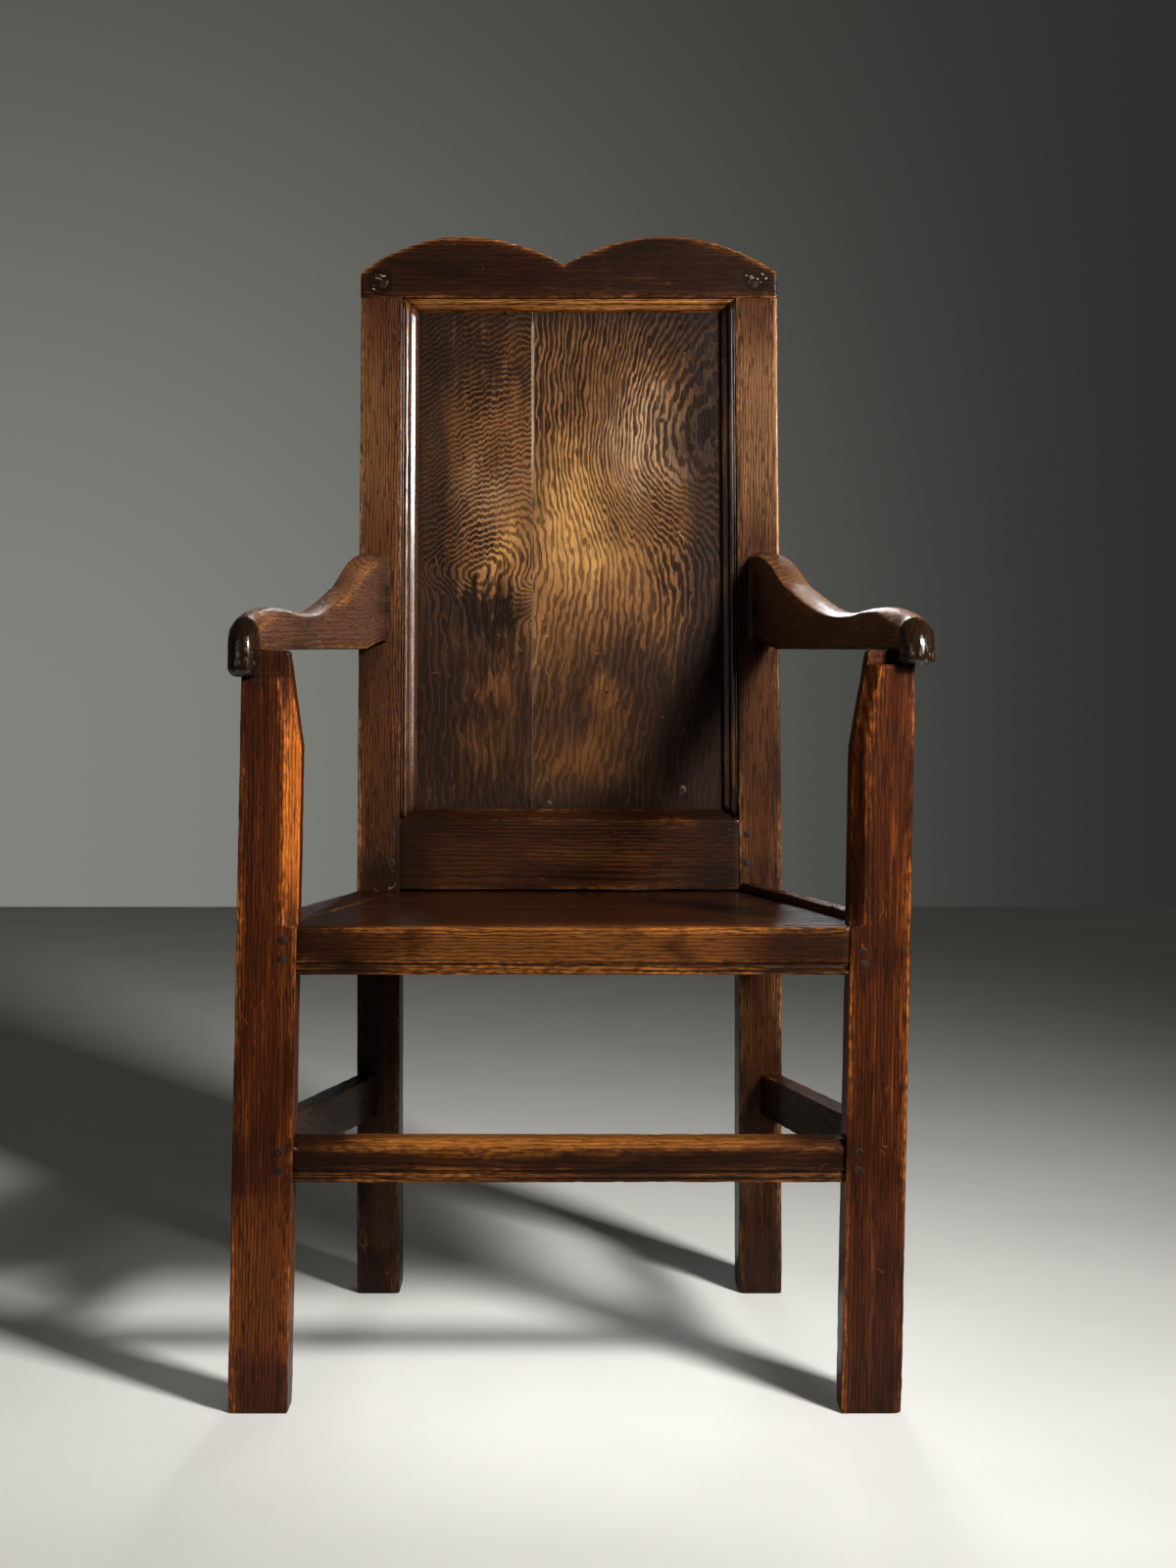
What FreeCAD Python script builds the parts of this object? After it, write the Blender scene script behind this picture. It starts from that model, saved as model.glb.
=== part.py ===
import FreeCAD, Part

import math
import os

# A joined oak armchair with a two-board panel in its back.
# Lengths are in millimetres and +Z is up. The chair faces -Y, and left means the -X side, as the
# chair is seen from its front. The pieces are built with x = 0 at the middle of the back, y = 0 at
# the front face of the front legs and z = 0 on the floor, and are then moved so that the origin
# lies under the middle of the whole chair. Every joint is a pegged mortise and tenon.

V = FreeCAD.Vector
LEFT, RIGHT = -1, 1
SIDES = {"left": LEFT, "right": RIGHT}

# Frame of the chair
overall_height = 1168.0
seat_height = 440.0
seat_half_width = 305.0  # outer faces of the front legs, at the seat
back_half_width = 232.4  # outer faces of the back posts
frame_depth = 412.0  # front legs' front face to back posts' front face, at the seat
rake_run = 56.0  # how far the back leans, from the seat to the crest's peaks

# Fits
joint_clearance = 0.2  # round a tenon in its mortise, and beside a panel or a seat board
tenon_end_clearance = 1.0
overrun = 5.0  # how far a cutting tool runs past what it cuts

# Front legs, which lean sideways together
leg_width = 55.0
leg_depth = 40.0
leg_height = 690.0  # floor to the shoulder under the arm
leg_lean_run = 12.8  # sideways, from the floor to the arm
leg_taper_length = 87.0  # below the leg's shoulder
leg_top_width = 41.5
leg_chamfer = 12.0
leg_tenon_width = 16.0
leg_tenon_depth = 14.0
leg_tenon_height = 16.0
leg_tenon_setback = 18.0  # from the leg's front face

# Back posts
post_width = 47.0
post_depth = 62.0  # below the seat
post_top_depth = 32.0
post_tenon_width = 28.0
post_tenon_thickness = 12.0
post_tenon_height = 25.0

# Crest rail, with two arches that meet in a notch
crest_height = 70.0  # at its peaks
crest_end_drop = 41.0  # below the peaks
crest_notch_drop = 31.5
crest_notch_offset = -5.0
left_peak = -119.0
right_peak = 109.0
crest_thickness = 30.0
crest_arris = 2.5

# Back bottom rail
bottom_rail_gap = 1.5  # over the seat
bottom_rail_face_rise = 77.0  # over the seat
bottom_rail_bevel_rise = 13.0  # more, behind the bevel
bottom_rail_thickness = 26.0
bottom_rail_tenon_thickness = 9.0
bottom_rail_tenon_length = 28.0
bottom_rail_tenon_height = 58.0

# Back panel: two boards in a groove
panel_setback = 13.0
panel_thickness = 9.0
panel_groove_depth = 8.0
panel_tongue = 7.0
panel_seam_offset = -35.0
panel_seam_clearance = 0.3

# Planted mouldings round the panel
moulding_width = 17.0
moulding_depth = 11.0
moulding_bead = 3.2
moulding_fillet = 4.0

# Seat rails
seat_rail_height = 44.0
seat_tenon_trim = 3.0  # narrower than the rail, at its top and at its bottom
front_rail_setback = 2.0
front_rail_thickness = 29.0
front_rail_round = 4.0
side_rail_thickness = 45.0
back_rail_setback = 22.0  # from the posts' front faces
back_rail_thickness = 28.0
rail_tenon_thickness = 10.0
rail_tenon_setback = 9.0  # from the rail's outer face
front_rail_tenon_length = 27.0
side_rail_tenon_length = 25.0
back_rail_tenon_length = 18.0

# Scratch moulding along a lower edge
scratch_height = 11.0
scratch_quirk = 1.6
scratch_hollow_height = 3.0
scratch_hollow_depth = 1.2

# Seat boards, let in flush between the side rails
seat_board_thickness = 14.0
seat_ledge_start = 12.0  # behind the front rail's face
seat_joint_y = 214.0
seat_board_gap = 0.3
seat_board_back_reach = 46.0  # past the posts' front faces
seat_tongue_thickness = 6.0
seat_tongue_length = 6.0  # into the side rails' grooves

# Strip on the seat's right side, along the seam
strip_width = 15.5
strip_height = 9.5
strip_quirk = 1.5
strip_pin_edge = 3.5  # from the strip's outer edge to its pins

# Stretchers
front_stretcher_bottom = 208.0
front_stretcher_height = 39.0
front_stretcher_setback = 3.5
front_stretcher_thickness = 31.0
front_stretcher_bevel_height = 8.0
front_stretcher_bevel_depth = 6.0
side_stretcher_front_bottom = 204.5
side_stretcher_back_bottom = 195.0
side_stretcher_height = 44.5
side_stretcher_thickness = 23.0
side_stretcher_tenon_setback = 7.0
stretcher_tenon_thickness = 10.0
stretcher_tenon_trim = 5.0

# Arms. The knuckle is the rolled-over front end, which hangs down before the leg.
arm_back_height = 122.0  # the arm's top at the post, over the legs' shoulders
arm_back_inset = 14.4  # from the posts' outer faces to the arm's middle
arm_back_width = 28.0
arm_crown = 7.0  # how far the top's middle stands over its edges
arm_tenon_thickness = 12.0
arm_tenon_length = 30.0
arm_tenon_height = 70.0
arm_tenon_rise = 16.0  # over the arm's underside at the post
arm_underside_rise = 12.0  # of the straight underside, from the leg to the post
arm_rear_rise = 9.0  # more, where the underside curves up to the post
arm_rear_run = 60.0
knuckle_overhang = 18.0
knuckle_lap = 11.0  # how far its lip lies over the leg
knuckle_round = 8.0
knuckle_top_reach = 36.0  # the rolled top, over the leg's shoulder
knuckle_steps = 5
left_knuckle_offset = 7.4  # from the leg's outer line at the seat, toward +X
left_knuckle_width = 28.8
left_knuckle_drop = 24.0
right_knuckle_offset = 4.6
right_knuckle_width = 33.4
right_knuckle_drop = 12.5

# The arm's top line: shares of the frame's depth and of the arm's height at the post
arm_top_shares = [(0.06, 0.30), (0.145, 0.345), (0.24, 0.352), (0.32, 0.338), (0.425, 0.35),
                  (0.50, 0.385), (0.57, 0.44), (0.64, 0.51), (0.71, 0.59), (0.79, 0.69),
                  (0.87, 0.84), (0.95, 0.95), (1.03, 0.995), (1.14, 1.0)]

# Pegs and pins
peg_diameter = 7.0
peg_clearance = 0.1
peg_proud = 0.4
pin_diameter = 4.0
pin_length = 24.0
sprig_diameter = 1.8
sprig_length = 22.0
sprig_depth = 2.0  # in front of the panel
crest_peg_inset = 25.4  # from the post's outer face
crest_peg_rise = 15.5  # over the crest rail's lower edge
crest_peg_length = 24.0
bottom_rail_peg_inset = 9.1  # from the post's inner face
bottom_rail_lower_peg_rise = 31.0  # over the seat
bottom_rail_upper_peg_rise = 62.0
front_peg_inset = 42.5  # from the leg's outer face
left_lower_peg_rise = 15.0  # over the front seat rail's lower edge
left_upper_peg_rise = 32.0
right_lower_peg_rise = 9.5
right_upper_peg_rise = 21.0
stretcher_lower_peg_rise = 11.0  # over the front stretcher's lower edge
stretcher_upper_peg_rise = 28.0
front_peg_length = 30.0
side_peg_length = 26.0
back_peg_length = 34.0
arm_peg_rise = 62.0  # over the legs' shoulders
arm_front_peg_y = 25.0
board_pin_step = 140.0
strip_pin_shares = (0.12, 0.5, 0.88)
sprig_shares = (0.1, 0.5, 0.9)

rake_angle = math.atan2(rake_run, overall_height - seat_height)
rake_pivot = V(0, frame_depth, seat_height)
post_inner = back_half_width - post_width
leg_inner = seat_half_width - leg_width
leg_taper_start = leg_height - leg_taper_length
crest_lower_height = overall_height - crest_height
crest_end_height = overall_height - crest_end_drop
crest_notch_height = overall_height - crest_notch_drop
crest_peak = {LEFT: left_peak, RIGHT: right_peak}
bottom_rail_face_top = seat_height + bottom_rail_face_rise
bottom_rail_top = bottom_rail_face_top + bottom_rail_bevel_rise
arm_back_centre = back_half_width - arm_back_inset
knuckle_centre = {LEFT: left_knuckle_offset - seat_half_width,
                  RIGHT: right_knuckle_offset + seat_half_width}
knuckle_width = {LEFT: left_knuckle_width, RIGHT: right_knuckle_width}
knuckle_drop = {LEFT: left_knuckle_drop, RIGHT: right_knuckle_drop}
front_rail_peg_rises = {LEFT: (left_lower_peg_rise, left_upper_peg_rise),
                        RIGHT: (right_lower_peg_rise, right_upper_peg_rise)}
pieces = {}


def along_back(height):
    """Return where a height on the raked back lies before the back is leaned over."""
    return seat_height + (height - seat_height) / math.cos(rake_angle)


def lean_over(shape):
    """Lean an upright piece of the back to its rake."""
    leaned = shape.copy()
    leaned.rotate(rake_pivot, V(1, 0, 0), -math.degrees(rake_angle))
    return leaned


def leg_lean(height):
    """Return how far a front leg has moved sideways at a height."""
    return leg_lean_run * (height - seat_height) / leg_height


def box(x0, x1, y0, y1, z0, z1):
    """Make a box from its lowest to its highest corner, given in any order."""
    low = V(min(x0, x1), min(y0, y1), min(z0, z1))
    return Part.makeBox(abs(x1 - x0), abs(y1 - y0), abs(z1 - z0), low)


def prism(points, direction):
    """Extrude the closed outline through the points."""
    return Part.Face(Part.makePolygon(points + [points[0]])).extrude(direction)


def section(y, x0, x1, z0, z1):
    """Make an upright rectangle across the chair at a depth."""
    corners = [V(x0, y, z0), V(x1, y, z0), V(x1, y, z1), V(x0, y, z1)]
    return Part.makePolygon(corners + [corners[0]])


def side_bar(side, y0, y1, inset, thickness, bottoms, height, grow=0.0):
    """Make a bar along the line of the legs' and posts' outer faces.

    side: which side of the chair; y0, y1: its ends; inset: from the outer line to its outer
    face; bottoms: its lower edge at the leg and at the post; grow: added to every face.
    """
    run = frame_depth - leg_depth
    wires = []
    for y in (y0 - grow, y1 + grow):
        share = (y - leg_depth) / run
        outer = seat_half_width + (back_half_width - seat_half_width) * share - inset
        bottom = bottoms[0] + (bottoms[1] - bottoms[0]) * share
        sideways = leg_lean(bottom + height) * (1 - share)
        x_out = side * (outer + grow) + sideways
        x_in = side * (outer - thickness - grow) + sideways
        wires.append(section(y, x_out, x_in, bottom - grow, bottom + height + grow))
    return Part.makeLoft(wires, True, True)


def peg(start, direction, length, diameter, proud):
    """Make a peg from the face that it is driven into."""
    start = start - direction * proud
    return Part.makeCylinder(diameter / 2, length + proud, start, direction)


def peg_hole(start, direction, length, diameter):
    """Make the tool that bores a peg's hole."""
    start = start - direction * overrun
    return Part.makeCylinder(diameter / 2 + peg_clearance / 2, length + overrun, start, direction)


def drive_pegs(node, places, through, diameter=peg_diameter, proud=peg_proud):
    """Bore the named pieces and put a group of pegs in them.

    places: (start, direction, length) of each peg.
    """
    for name in through:
        for place in places:
            pieces[name] = pieces[name].cut(peg_hole(*place, diameter))
    pieces[node] = Part.makeCompound([peg(*place, diameter, proud) for place in places])


def leg_blank(side):
    """Make a front leg with no joints cut in it."""
    outer = side * seat_half_width
    inner = side * leg_inner
    top_inner = side * (seat_half_width - leg_top_width)
    outline = [(outer, 0), (inner, 0), (inner, leg_taper_start), (top_inner, leg_height),
               (outer, leg_height)]
    return prism([V(x + leg_lean(z), 0, z) for x, z in outline], V(0, leg_depth, 0))


def leg_chamfer_tool(side):
    """Make the tool that takes off a leg's front inner corner, from the seat up."""
    taper = (leg_width - leg_top_width) / (leg_height - leg_taper_start)
    wires = []
    for z in (seat_height, leg_taper_start, leg_height + overrun):
        drawn_in = max(0, z - leg_taper_start) * taper
        corner = side * (leg_inner + drawn_in) + leg_lean(z)
        points = [V(corner + side * (leg_chamfer + overrun), -overrun, z),
                  V(corner - side * overrun, leg_chamfer + overrun, z),
                  V(corner - side * overrun, -overrun, z)]
        wires.append(Part.makePolygon(points + [points[0]]))
    return Part.makeLoft(wires, True, True)


def post_blank(side, spare=0.0):
    """Make a back post with no joints cut in it, wider each way by spare."""
    top = along_back(crest_lower_height)
    foot = [V(0, frame_depth, 0), V(0, frame_depth, seat_height)]
    back_foot = [V(0, frame_depth + post_depth, seat_height), V(0, frame_depth + post_depth, 0)]
    head = Part.Vertex(V(0, frame_depth, top)), Part.Vertex(V(0, frame_depth + post_top_depth, top))
    head = [lean_over(vertex).Point for vertex in head]
    outline = prism(foot + head + back_foot, V(post_width + 2 * spare, 0, 0))
    outline.translate(V(min(side * back_half_width, side * post_inner) - spare, 0, 0))
    return outline


def front_bar(inner_y, thickness, bottom, height):
    """Make a bar between the front legs, cut to their leaning faces."""
    reach = leg_inner + leg_width / 2
    bar = box(-reach, reach, inner_y, inner_y + thickness, bottom, bottom + height)
    return bar.cut(leg_blank(LEFT)).cut(leg_blank(RIGHT))


def front_core(y, thickness, bottom, height, grow, end):
    """Make the length that holds both tenons of a bar between the front legs."""
    middle = leg_lean(bottom + height / 2)
    reach = leg_inner + front_rail_tenon_length + end
    return box(middle - reach, middle + reach, y - grow, y + thickness + grow,
               bottom - grow, bottom + height + grow)


def scratch(bar, face_y, bottom):
    """Cut the scratch moulding in a bar's lower front edge: a hollow, a bead and a quirk."""
    reach = seat_half_width
    quirk = box(-reach, reach, face_y - overrun, face_y + scratch_quirk,
                bottom + scratch_height - scratch_quirk, bottom + scratch_height)
    hollow = box(-reach, reach, face_y - overrun, face_y + scratch_hollow_depth,
                 bottom + scratch_hollow_height, bottom + scratch_hollow_height + scratch_quirk)
    return bar.cut(quirk).cut(hollow)


def mortise(names, tool):
    """Cut a mortise or a groove in the named pieces."""
    for name in names:
        pieces[name] = pieces[name].cut(tool)


def join(node, mortised, make_tenons):
    """Fuse a joint's tenons to a piece, and cut their mortises in the others.

    make_tenons: makes the tenons, grown on every face and lengthened by the amounts given.
    """
    pieces[node] = pieces[node].fuse(make_tenons(0.0, 0.0)).removeSplitter()
    mortise(mortised, make_tenons(joint_clearance, tenon_end_clearance))


def leg_top_middle(side):
    """Return the middle of what a leg's top and the arm over it have in common."""
    leg_outer = side * seat_half_width + leg_lean(leg_height)
    arm_inner = arm_edges(side, leg_tenon_setback)[1]
    return (leg_outer + arm_inner) / 2


def make_legs_and_posts():
    """Make the four uprights as blanks, with the legs' chamfers and the tenons on their tops."""
    for name, side in SIDES.items():
        leg = leg_blank(side).cut(leg_chamfer_tool(side))
        lip = knuckle_drop[side]
        notch = box(-seat_half_width - leg_width, seat_half_width + leg_width, -overrun,
                    knuckle_lap, leg_height - lip, leg_height + overrun)
        middle = leg_top_middle(side)
        tenon = box(middle - leg_tenon_width / 2, middle + leg_tenon_width / 2, leg_tenon_setback,
                    leg_tenon_setback + leg_tenon_depth, leg_height - leg_tenon_height,
                    leg_height + leg_tenon_height)
        pieces["front_leg_" + name] = leg.cut(notch).fuse(tenon).removeSplitter()
        pieces["back_post_" + name] = post_blank(side)


def between_legs(shape):
    """Cut a shape off at the front legs' inner faces."""
    return shape.cut(leg_blank(LEFT)).cut(leg_blank(RIGHT))


def make_front_seat_rail():
    """Make the front seat rail with its ledge for the boards, and cut its mortises."""
    bottom = seat_height - seat_rail_height
    face, back = front_rail_setback, front_rail_setback + front_rail_thickness
    x = -leg_inner - leg_width / 2
    slant = front_rail_round * (1 - math.sqrt(2) / 2)
    corners = [V(x, face, seat_height - front_rail_round), V(x, face, bottom), V(x, back, bottom),
               V(x, back, seat_height), V(x, face + front_rail_round, seat_height)]
    edges = [Part.makeLine(a, b) for a, b in zip(corners, corners[1:])]
    edges.append(Part.Arc(corners[-1], V(x, face + slant, seat_height - slant),
                          corners[0]).toShape())
    rail = Part.Face(Part.Wire(edges)).extrude(V(-2 * x, 0, 0))
    pieces["seat_front_rail"] = scratch(between_legs(rail), face, bottom)
    sizes = (front_rail_setback + rail_tenon_setback, rail_tenon_thickness,
             bottom + seat_tenon_trim, seat_rail_height - 2 * seat_tenon_trim)
    join("seat_front_rail", ["front_leg_left", "front_leg_right"],
         lambda grow, end: front_core(*sizes, grow, end))
    ledge = box(-seat_half_width, seat_half_width, front_rail_setback + seat_ledge_start,
                frame_depth, seat_height - seat_board_thickness, seat_height + overrun)
    mortise(["seat_front_rail"], between_legs(ledge))


def make_side_bar(node, name, sizes, tenon_inset, tenon_thickness, trim, tenon_length):
    """Make a side rail or stretcher with its tenons, and cut its mortises.

    sizes: its inset, thickness, two lower heights and height, as side_bar takes them.
    """
    side = SIDES[name]
    inset, thickness, bottoms, height = sizes
    tenon_bottoms = (bottoms[0] + trim, bottoms[1] + trim)
    tenon = (inset + tenon_inset, tenon_thickness, tenon_bottoms, height - 2 * trim)
    start, stop = leg_depth - tenon_length, frame_depth + tenon_length
    pieces[node] = side_bar(side, leg_depth, frame_depth, *sizes)
    join(node, ["front_leg_" + name, "back_post_" + name],
         lambda grow, end: side_bar(side, start - end, stop + end, *tenon, grow))


def make_side_seat_rails():
    """Make the side seat rails, grooved for the boards' tongues."""
    bottom = seat_height - seat_rail_height
    for name, side in SIDES.items():
        node = "seat_side_rail_" + name
        sizes = (0.0, side_rail_thickness, (bottom, bottom), seat_rail_height)
        make_side_bar(node, name, sizes, rail_tenon_setback, rail_tenon_thickness,
                      seat_tenon_trim, side_rail_tenon_length)
        groove_bottom = seat_height - (seat_board_thickness + seat_tongue_thickness) / 2
        groove = side_bar(side, leg_depth, frame_depth, side_rail_thickness - seat_tongue_length,
                          seat_tongue_length, (groove_bottom, groove_bottom),
                          seat_tongue_thickness, joint_clearance)
        pieces[node] = pieces[node].cut(groove)


def make_back_seat_rail():
    """Make the back seat rail between the posts, under the rear seat board."""
    bottom = seat_height - seat_rail_height
    top = seat_height - seat_board_thickness
    y0 = frame_depth + back_rail_setback
    middle = y0 + back_rail_thickness / 2

    def core(grow, end):
        reach = post_inner + back_rail_tenon_length + end
        half = rail_tenon_thickness / 2 + grow
        return box(-reach, reach, middle - half, middle + half, bottom + seat_tenon_trim - grow,
                   top - seat_tenon_trim + grow)

    pieces["seat_back_rail"] = box(-post_inner, post_inner, y0, y0 + back_rail_thickness, bottom,
                                   top)
    join("seat_back_rail", ["back_post_left", "back_post_right"], core)


def seat_half(y):
    """Return the seat boards' half width at a depth, to their seam with the side rails."""
    share = (y - leg_depth) / (frame_depth - leg_depth)
    outer = seat_half_width + (back_half_width - seat_half_width) * share
    return outer - side_rail_thickness - seat_board_gap


def make_seat_boards():
    """Make the two seat boards, tongued into the side rails and notched round the uprights."""
    front = front_rail_setback + seat_ledge_start + joint_clearance
    back = frame_depth + seat_board_back_reach
    leg_end = leg_depth + seat_board_gap
    post_start = frame_depth - seat_board_gap
    between_front = leg_inner - seat_board_gap
    between_posts = post_inner - seat_board_gap
    bottom = seat_height - seat_board_thickness
    tongue_bottom = bottom + (seat_board_thickness - seat_tongue_thickness) / 2
    spans = {"seat_board_front": (front, seat_joint_y, [(between_front, front),
                                                        (between_front, leg_end),
                                                        (seat_half(leg_end), leg_end),
                                                        (seat_half(seat_joint_y), seat_joint_y)]),
             "seat_board_rear": (seat_joint_y + seat_board_gap, back,
                                 [(seat_half(seat_joint_y), seat_joint_y + seat_board_gap),
                                  (seat_half(post_start), post_start),
                                  (between_posts, post_start), (between_posts, back)])}
    for node, (y0, y1, edge) in spans.items():
        outline = [V(x, y, bottom) for x, y in edge]
        outline += [V(-x, y, bottom) for x, y in reversed(edge)]
        board = prism(outline, V(0, 0, seat_board_thickness))
        y0 = max(y0, leg_end)
        y1 = min(y1, post_start)
        tongue = [V((seat_half(y) + seat_tongue_length) * side, y, tongue_bottom)
                  for side, y in ((RIGHT, y0), (RIGHT, y1), (LEFT, y1), (LEFT, y0))]
        board = board.fuse(prism(tongue, V(0, 0, seat_tongue_thickness)))
        for side in (LEFT, RIGHT):
            board = board.cut(leg_blank(side))
        pieces[node] = board.removeSplitter()


def make_seat_strip():
    """Make the reeded strip that stands on the right side rail, along the seat's seam."""
    inset = side_rail_thickness - strip_width
    level = (seat_height, seat_height)
    strip = side_bar(RIGHT, leg_depth, frame_depth, inset, strip_width, level, strip_height)
    top_quirk = seat_height + strip_height - strip_quirk
    side_quirk = seat_height + strip_height / 2
    ends = (leg_depth - overrun, frame_depth + overrun)
    strip = strip.cut(side_bar(RIGHT, *ends, inset + strip_width / 2, strip_quirk,
                               (top_quirk, top_quirk), overrun))
    strip = strip.cut(side_bar(RIGHT, *ends, inset + strip_width - strip_quirk, overrun,
                               (side_quirk, side_quirk), strip_quirk))
    pieces["seat_side_moulding"] = strip


def make_stretchers():
    """Make the front stretcher and the two side stretchers."""
    bottom, height = front_stretcher_bottom, front_stretcher_height
    bar = front_bar(front_stretcher_setback, front_stretcher_thickness, bottom, height)
    top = bottom + height
    reach = seat_half_width
    face = front_stretcher_setback
    bevel = [V(-reach, face - front_stretcher_bevel_depth, top),
             V(-reach, face - front_stretcher_bevel_depth, top - 2 * front_stretcher_bevel_height),
             V(-reach, face + front_stretcher_bevel_depth, top)]
    pieces["front_stretcher"] = scratch(bar.cut(prism(bevel, V(2 * reach, 0, 0))), face, bottom)
    core_y = face + (front_stretcher_thickness - stretcher_tenon_thickness) / 2
    tenon_sizes = (core_y, stretcher_tenon_thickness, bottom + stretcher_tenon_trim,
                   height - 2 * stretcher_tenon_trim)
    join("front_stretcher", ["front_leg_left", "front_leg_right"],
         lambda grow, end: front_core(*tenon_sizes, grow, end))
    sizes = (0.0, side_stretcher_thickness,
             (side_stretcher_front_bottom, side_stretcher_back_bottom), side_stretcher_height)
    for name in SIDES:
        make_side_bar("side_stretcher_" + name, name, sizes, side_stretcher_tenon_setback,
                      stretcher_tenon_thickness, stretcher_tenon_trim, side_rail_tenon_length)


def arc_from_peak(peak_x, peak_z, x, z, y):
    """Make the arc that leaves a peak level and falls to a point."""
    run = x - peak_x
    radius = (run ** 2 + (peak_z - z) ** 2) / (2 * (peak_z - z))
    half_z = peak_z - radius + math.sqrt(radius ** 2 - (run / 2) ** 2)
    return Part.Arc(V(peak_x, y, peak_z), V(peak_x + run / 2, y, half_z), V(x, y, z)).toShape()


def make_crest():
    """Make the double-arched crest rail over the posts' tenons."""
    y = frame_depth
    low = along_back(crest_lower_height)
    end = along_back(crest_end_height)
    peak = along_back(overall_height)
    notch = along_back(crest_notch_height)
    edges = []
    for side in (LEFT, RIGHT):
        x = side * back_half_width
        edges.append(Part.makeLine(V(x, y, low), V(x, y, end)))
        edges.append(arc_from_peak(crest_peak[side], peak, x, end, y))
        edges.append(arc_from_peak(crest_peak[side], peak, crest_notch_offset, notch, y))
    edges.append(Part.makeLine(V(-back_half_width, y, low), V(back_half_width, y, low)))
    outline = Part.Wire(Part.__sortEdges__(edges))
    crest = Part.Face(outline).extrude(V(0, crest_thickness, 0))
    top_edges = [edge for edge in crest.Edges if isinstance(edge.Curve, Part.Circle)]
    crest = crest.makeChamfer(crest_arris, top_edges)
    crest = crest.cut(panel_groove(low - panel_groove_depth, low + panel_groove_depth))
    tenon_y = frame_depth + (post_top_depth - post_tenon_thickness) / 2
    for name, side in SIDES.items():
        middle = side * (back_half_width - post_width / 2)
        half = post_tenon_width / 2
        post = pieces["back_post_" + name]
        tenon = box(middle - half, middle + half, tenon_y, tenon_y + post_tenon_thickness,
                    low - post_tenon_height, low + post_tenon_height)
        pieces["back_post_" + name] = post.fuse(lean_over(tenon)).removeSplitter()
        half += joint_clearance
        crest = crest.cut(box(middle - half, middle + half, tenon_y - joint_clearance,
                              tenon_y + post_tenon_thickness + joint_clearance, low - overrun,
                              low + post_tenon_height + tenon_end_clearance))
    pieces["crest_rail"] = lean_over(crest)


def panel_groove(z0, z1):
    """Make the tool for the groove that holds the panel."""
    reach = post_inner + panel_groove_depth
    y0 = frame_depth + panel_setback
    return box(-reach, reach, y0 - joint_clearance, y0 + panel_thickness + joint_clearance, z0, z1)


def bottom_rail_blank():
    """Make the back's bottom rail, upright, with no joints cut in it."""
    bottom = seat_height - overrun
    top = along_back(bottom_rail_top)
    face_top = along_back(bottom_rail_face_top)
    y0 = frame_depth
    back = y0 + bottom_rail_thickness
    outline = [(y0, bottom), (y0, face_top), (y0 + panel_setback, top), (back, top), (back, bottom)]
    points = [V(-post_inner, y, z) for y, z in outline]
    return prism(points, V(2 * post_inner, 0, 0))


def make_bottom_rail():
    """Make the back's bottom rail, just clear of the seat, and cut its mortises."""
    top = along_back(bottom_rail_top)
    rail = bottom_rail_blank().cut(panel_groove(top - panel_groove_depth, top + overrun))
    under = box(-back_half_width, back_half_width, 0, 2 * frame_depth, seat_height - 2 * overrun,
                seat_height + bottom_rail_gap)
    pieces["back_bottom_rail"] = lean_over(rail).cut(under)
    y0 = frame_depth + panel_setback
    z0 = along_back(bottom_rail_face_top) - bottom_rail_tenon_height

    def core(grow, end):
        reach = post_inner + bottom_rail_tenon_length + end
        return lean_over(box(-reach, reach, y0 - grow, y0 + bottom_rail_tenon_thickness + grow,
                             z0 - grow, z0 + bottom_rail_tenon_height + grow))

    join("back_bottom_rail", ["back_post_left", "back_post_right"], core)
    groove = panel_groove(top - panel_groove_depth, along_back(crest_lower_height) + overrun)
    mortise(["back_post_left", "back_post_right"], lean_over(groove))


def make_panel():
    """Make the panel's two boards, butted on their seam."""
    reach = post_inner + panel_tongue
    y0 = frame_depth + panel_setback
    z0 = along_back(bottom_rail_top) - panel_tongue
    z1 = along_back(crest_lower_height) + panel_tongue
    seam = panel_seam_clearance / 2
    left = box(-reach, panel_seam_offset - seam, y0, y0 + panel_thickness, z0, z1)
    right = box(panel_seam_offset + seam, reach, y0, y0 + panel_thickness, z0, z1)
    pieces["back_panel_board_left"] = lean_over(left)
    pieces["back_panel_board_right"] = lean_over(right)


def moulding_face(corner, across):
    """Make a moulding's section: a bead beside the frame, a cove and a bead on the panel."""
    width, depth, bead, last = moulding_width, moulding_depth, moulding_bead, moulding_fillet
    sag = bead / 3
    cove = ((2 * bead + width - last) / 2 - sag, (depth - bead + last) / 2 - sag)
    slant = math.sqrt(2) / 2
    marks = [(0, 0), (0, depth - bead), (bead, depth), (2 * bead, depth - bead), cove,
             (width - last, last), (width - last + last * slant, last * slant), (width, 0)]
    points = [corner + across * a - V(0, d, 0) for a, d in marks]
    edges = [Part.makeLine(points[0], points[1]), Part.Arc(*points[1:4]).toShape(),
             Part.Arc(*points[3:6]).toShape(), Part.Arc(*points[5:8]).toShape(),
             Part.makeLine(points[7], points[0])]
    return Part.Face(Part.Wire(edges))


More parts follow.
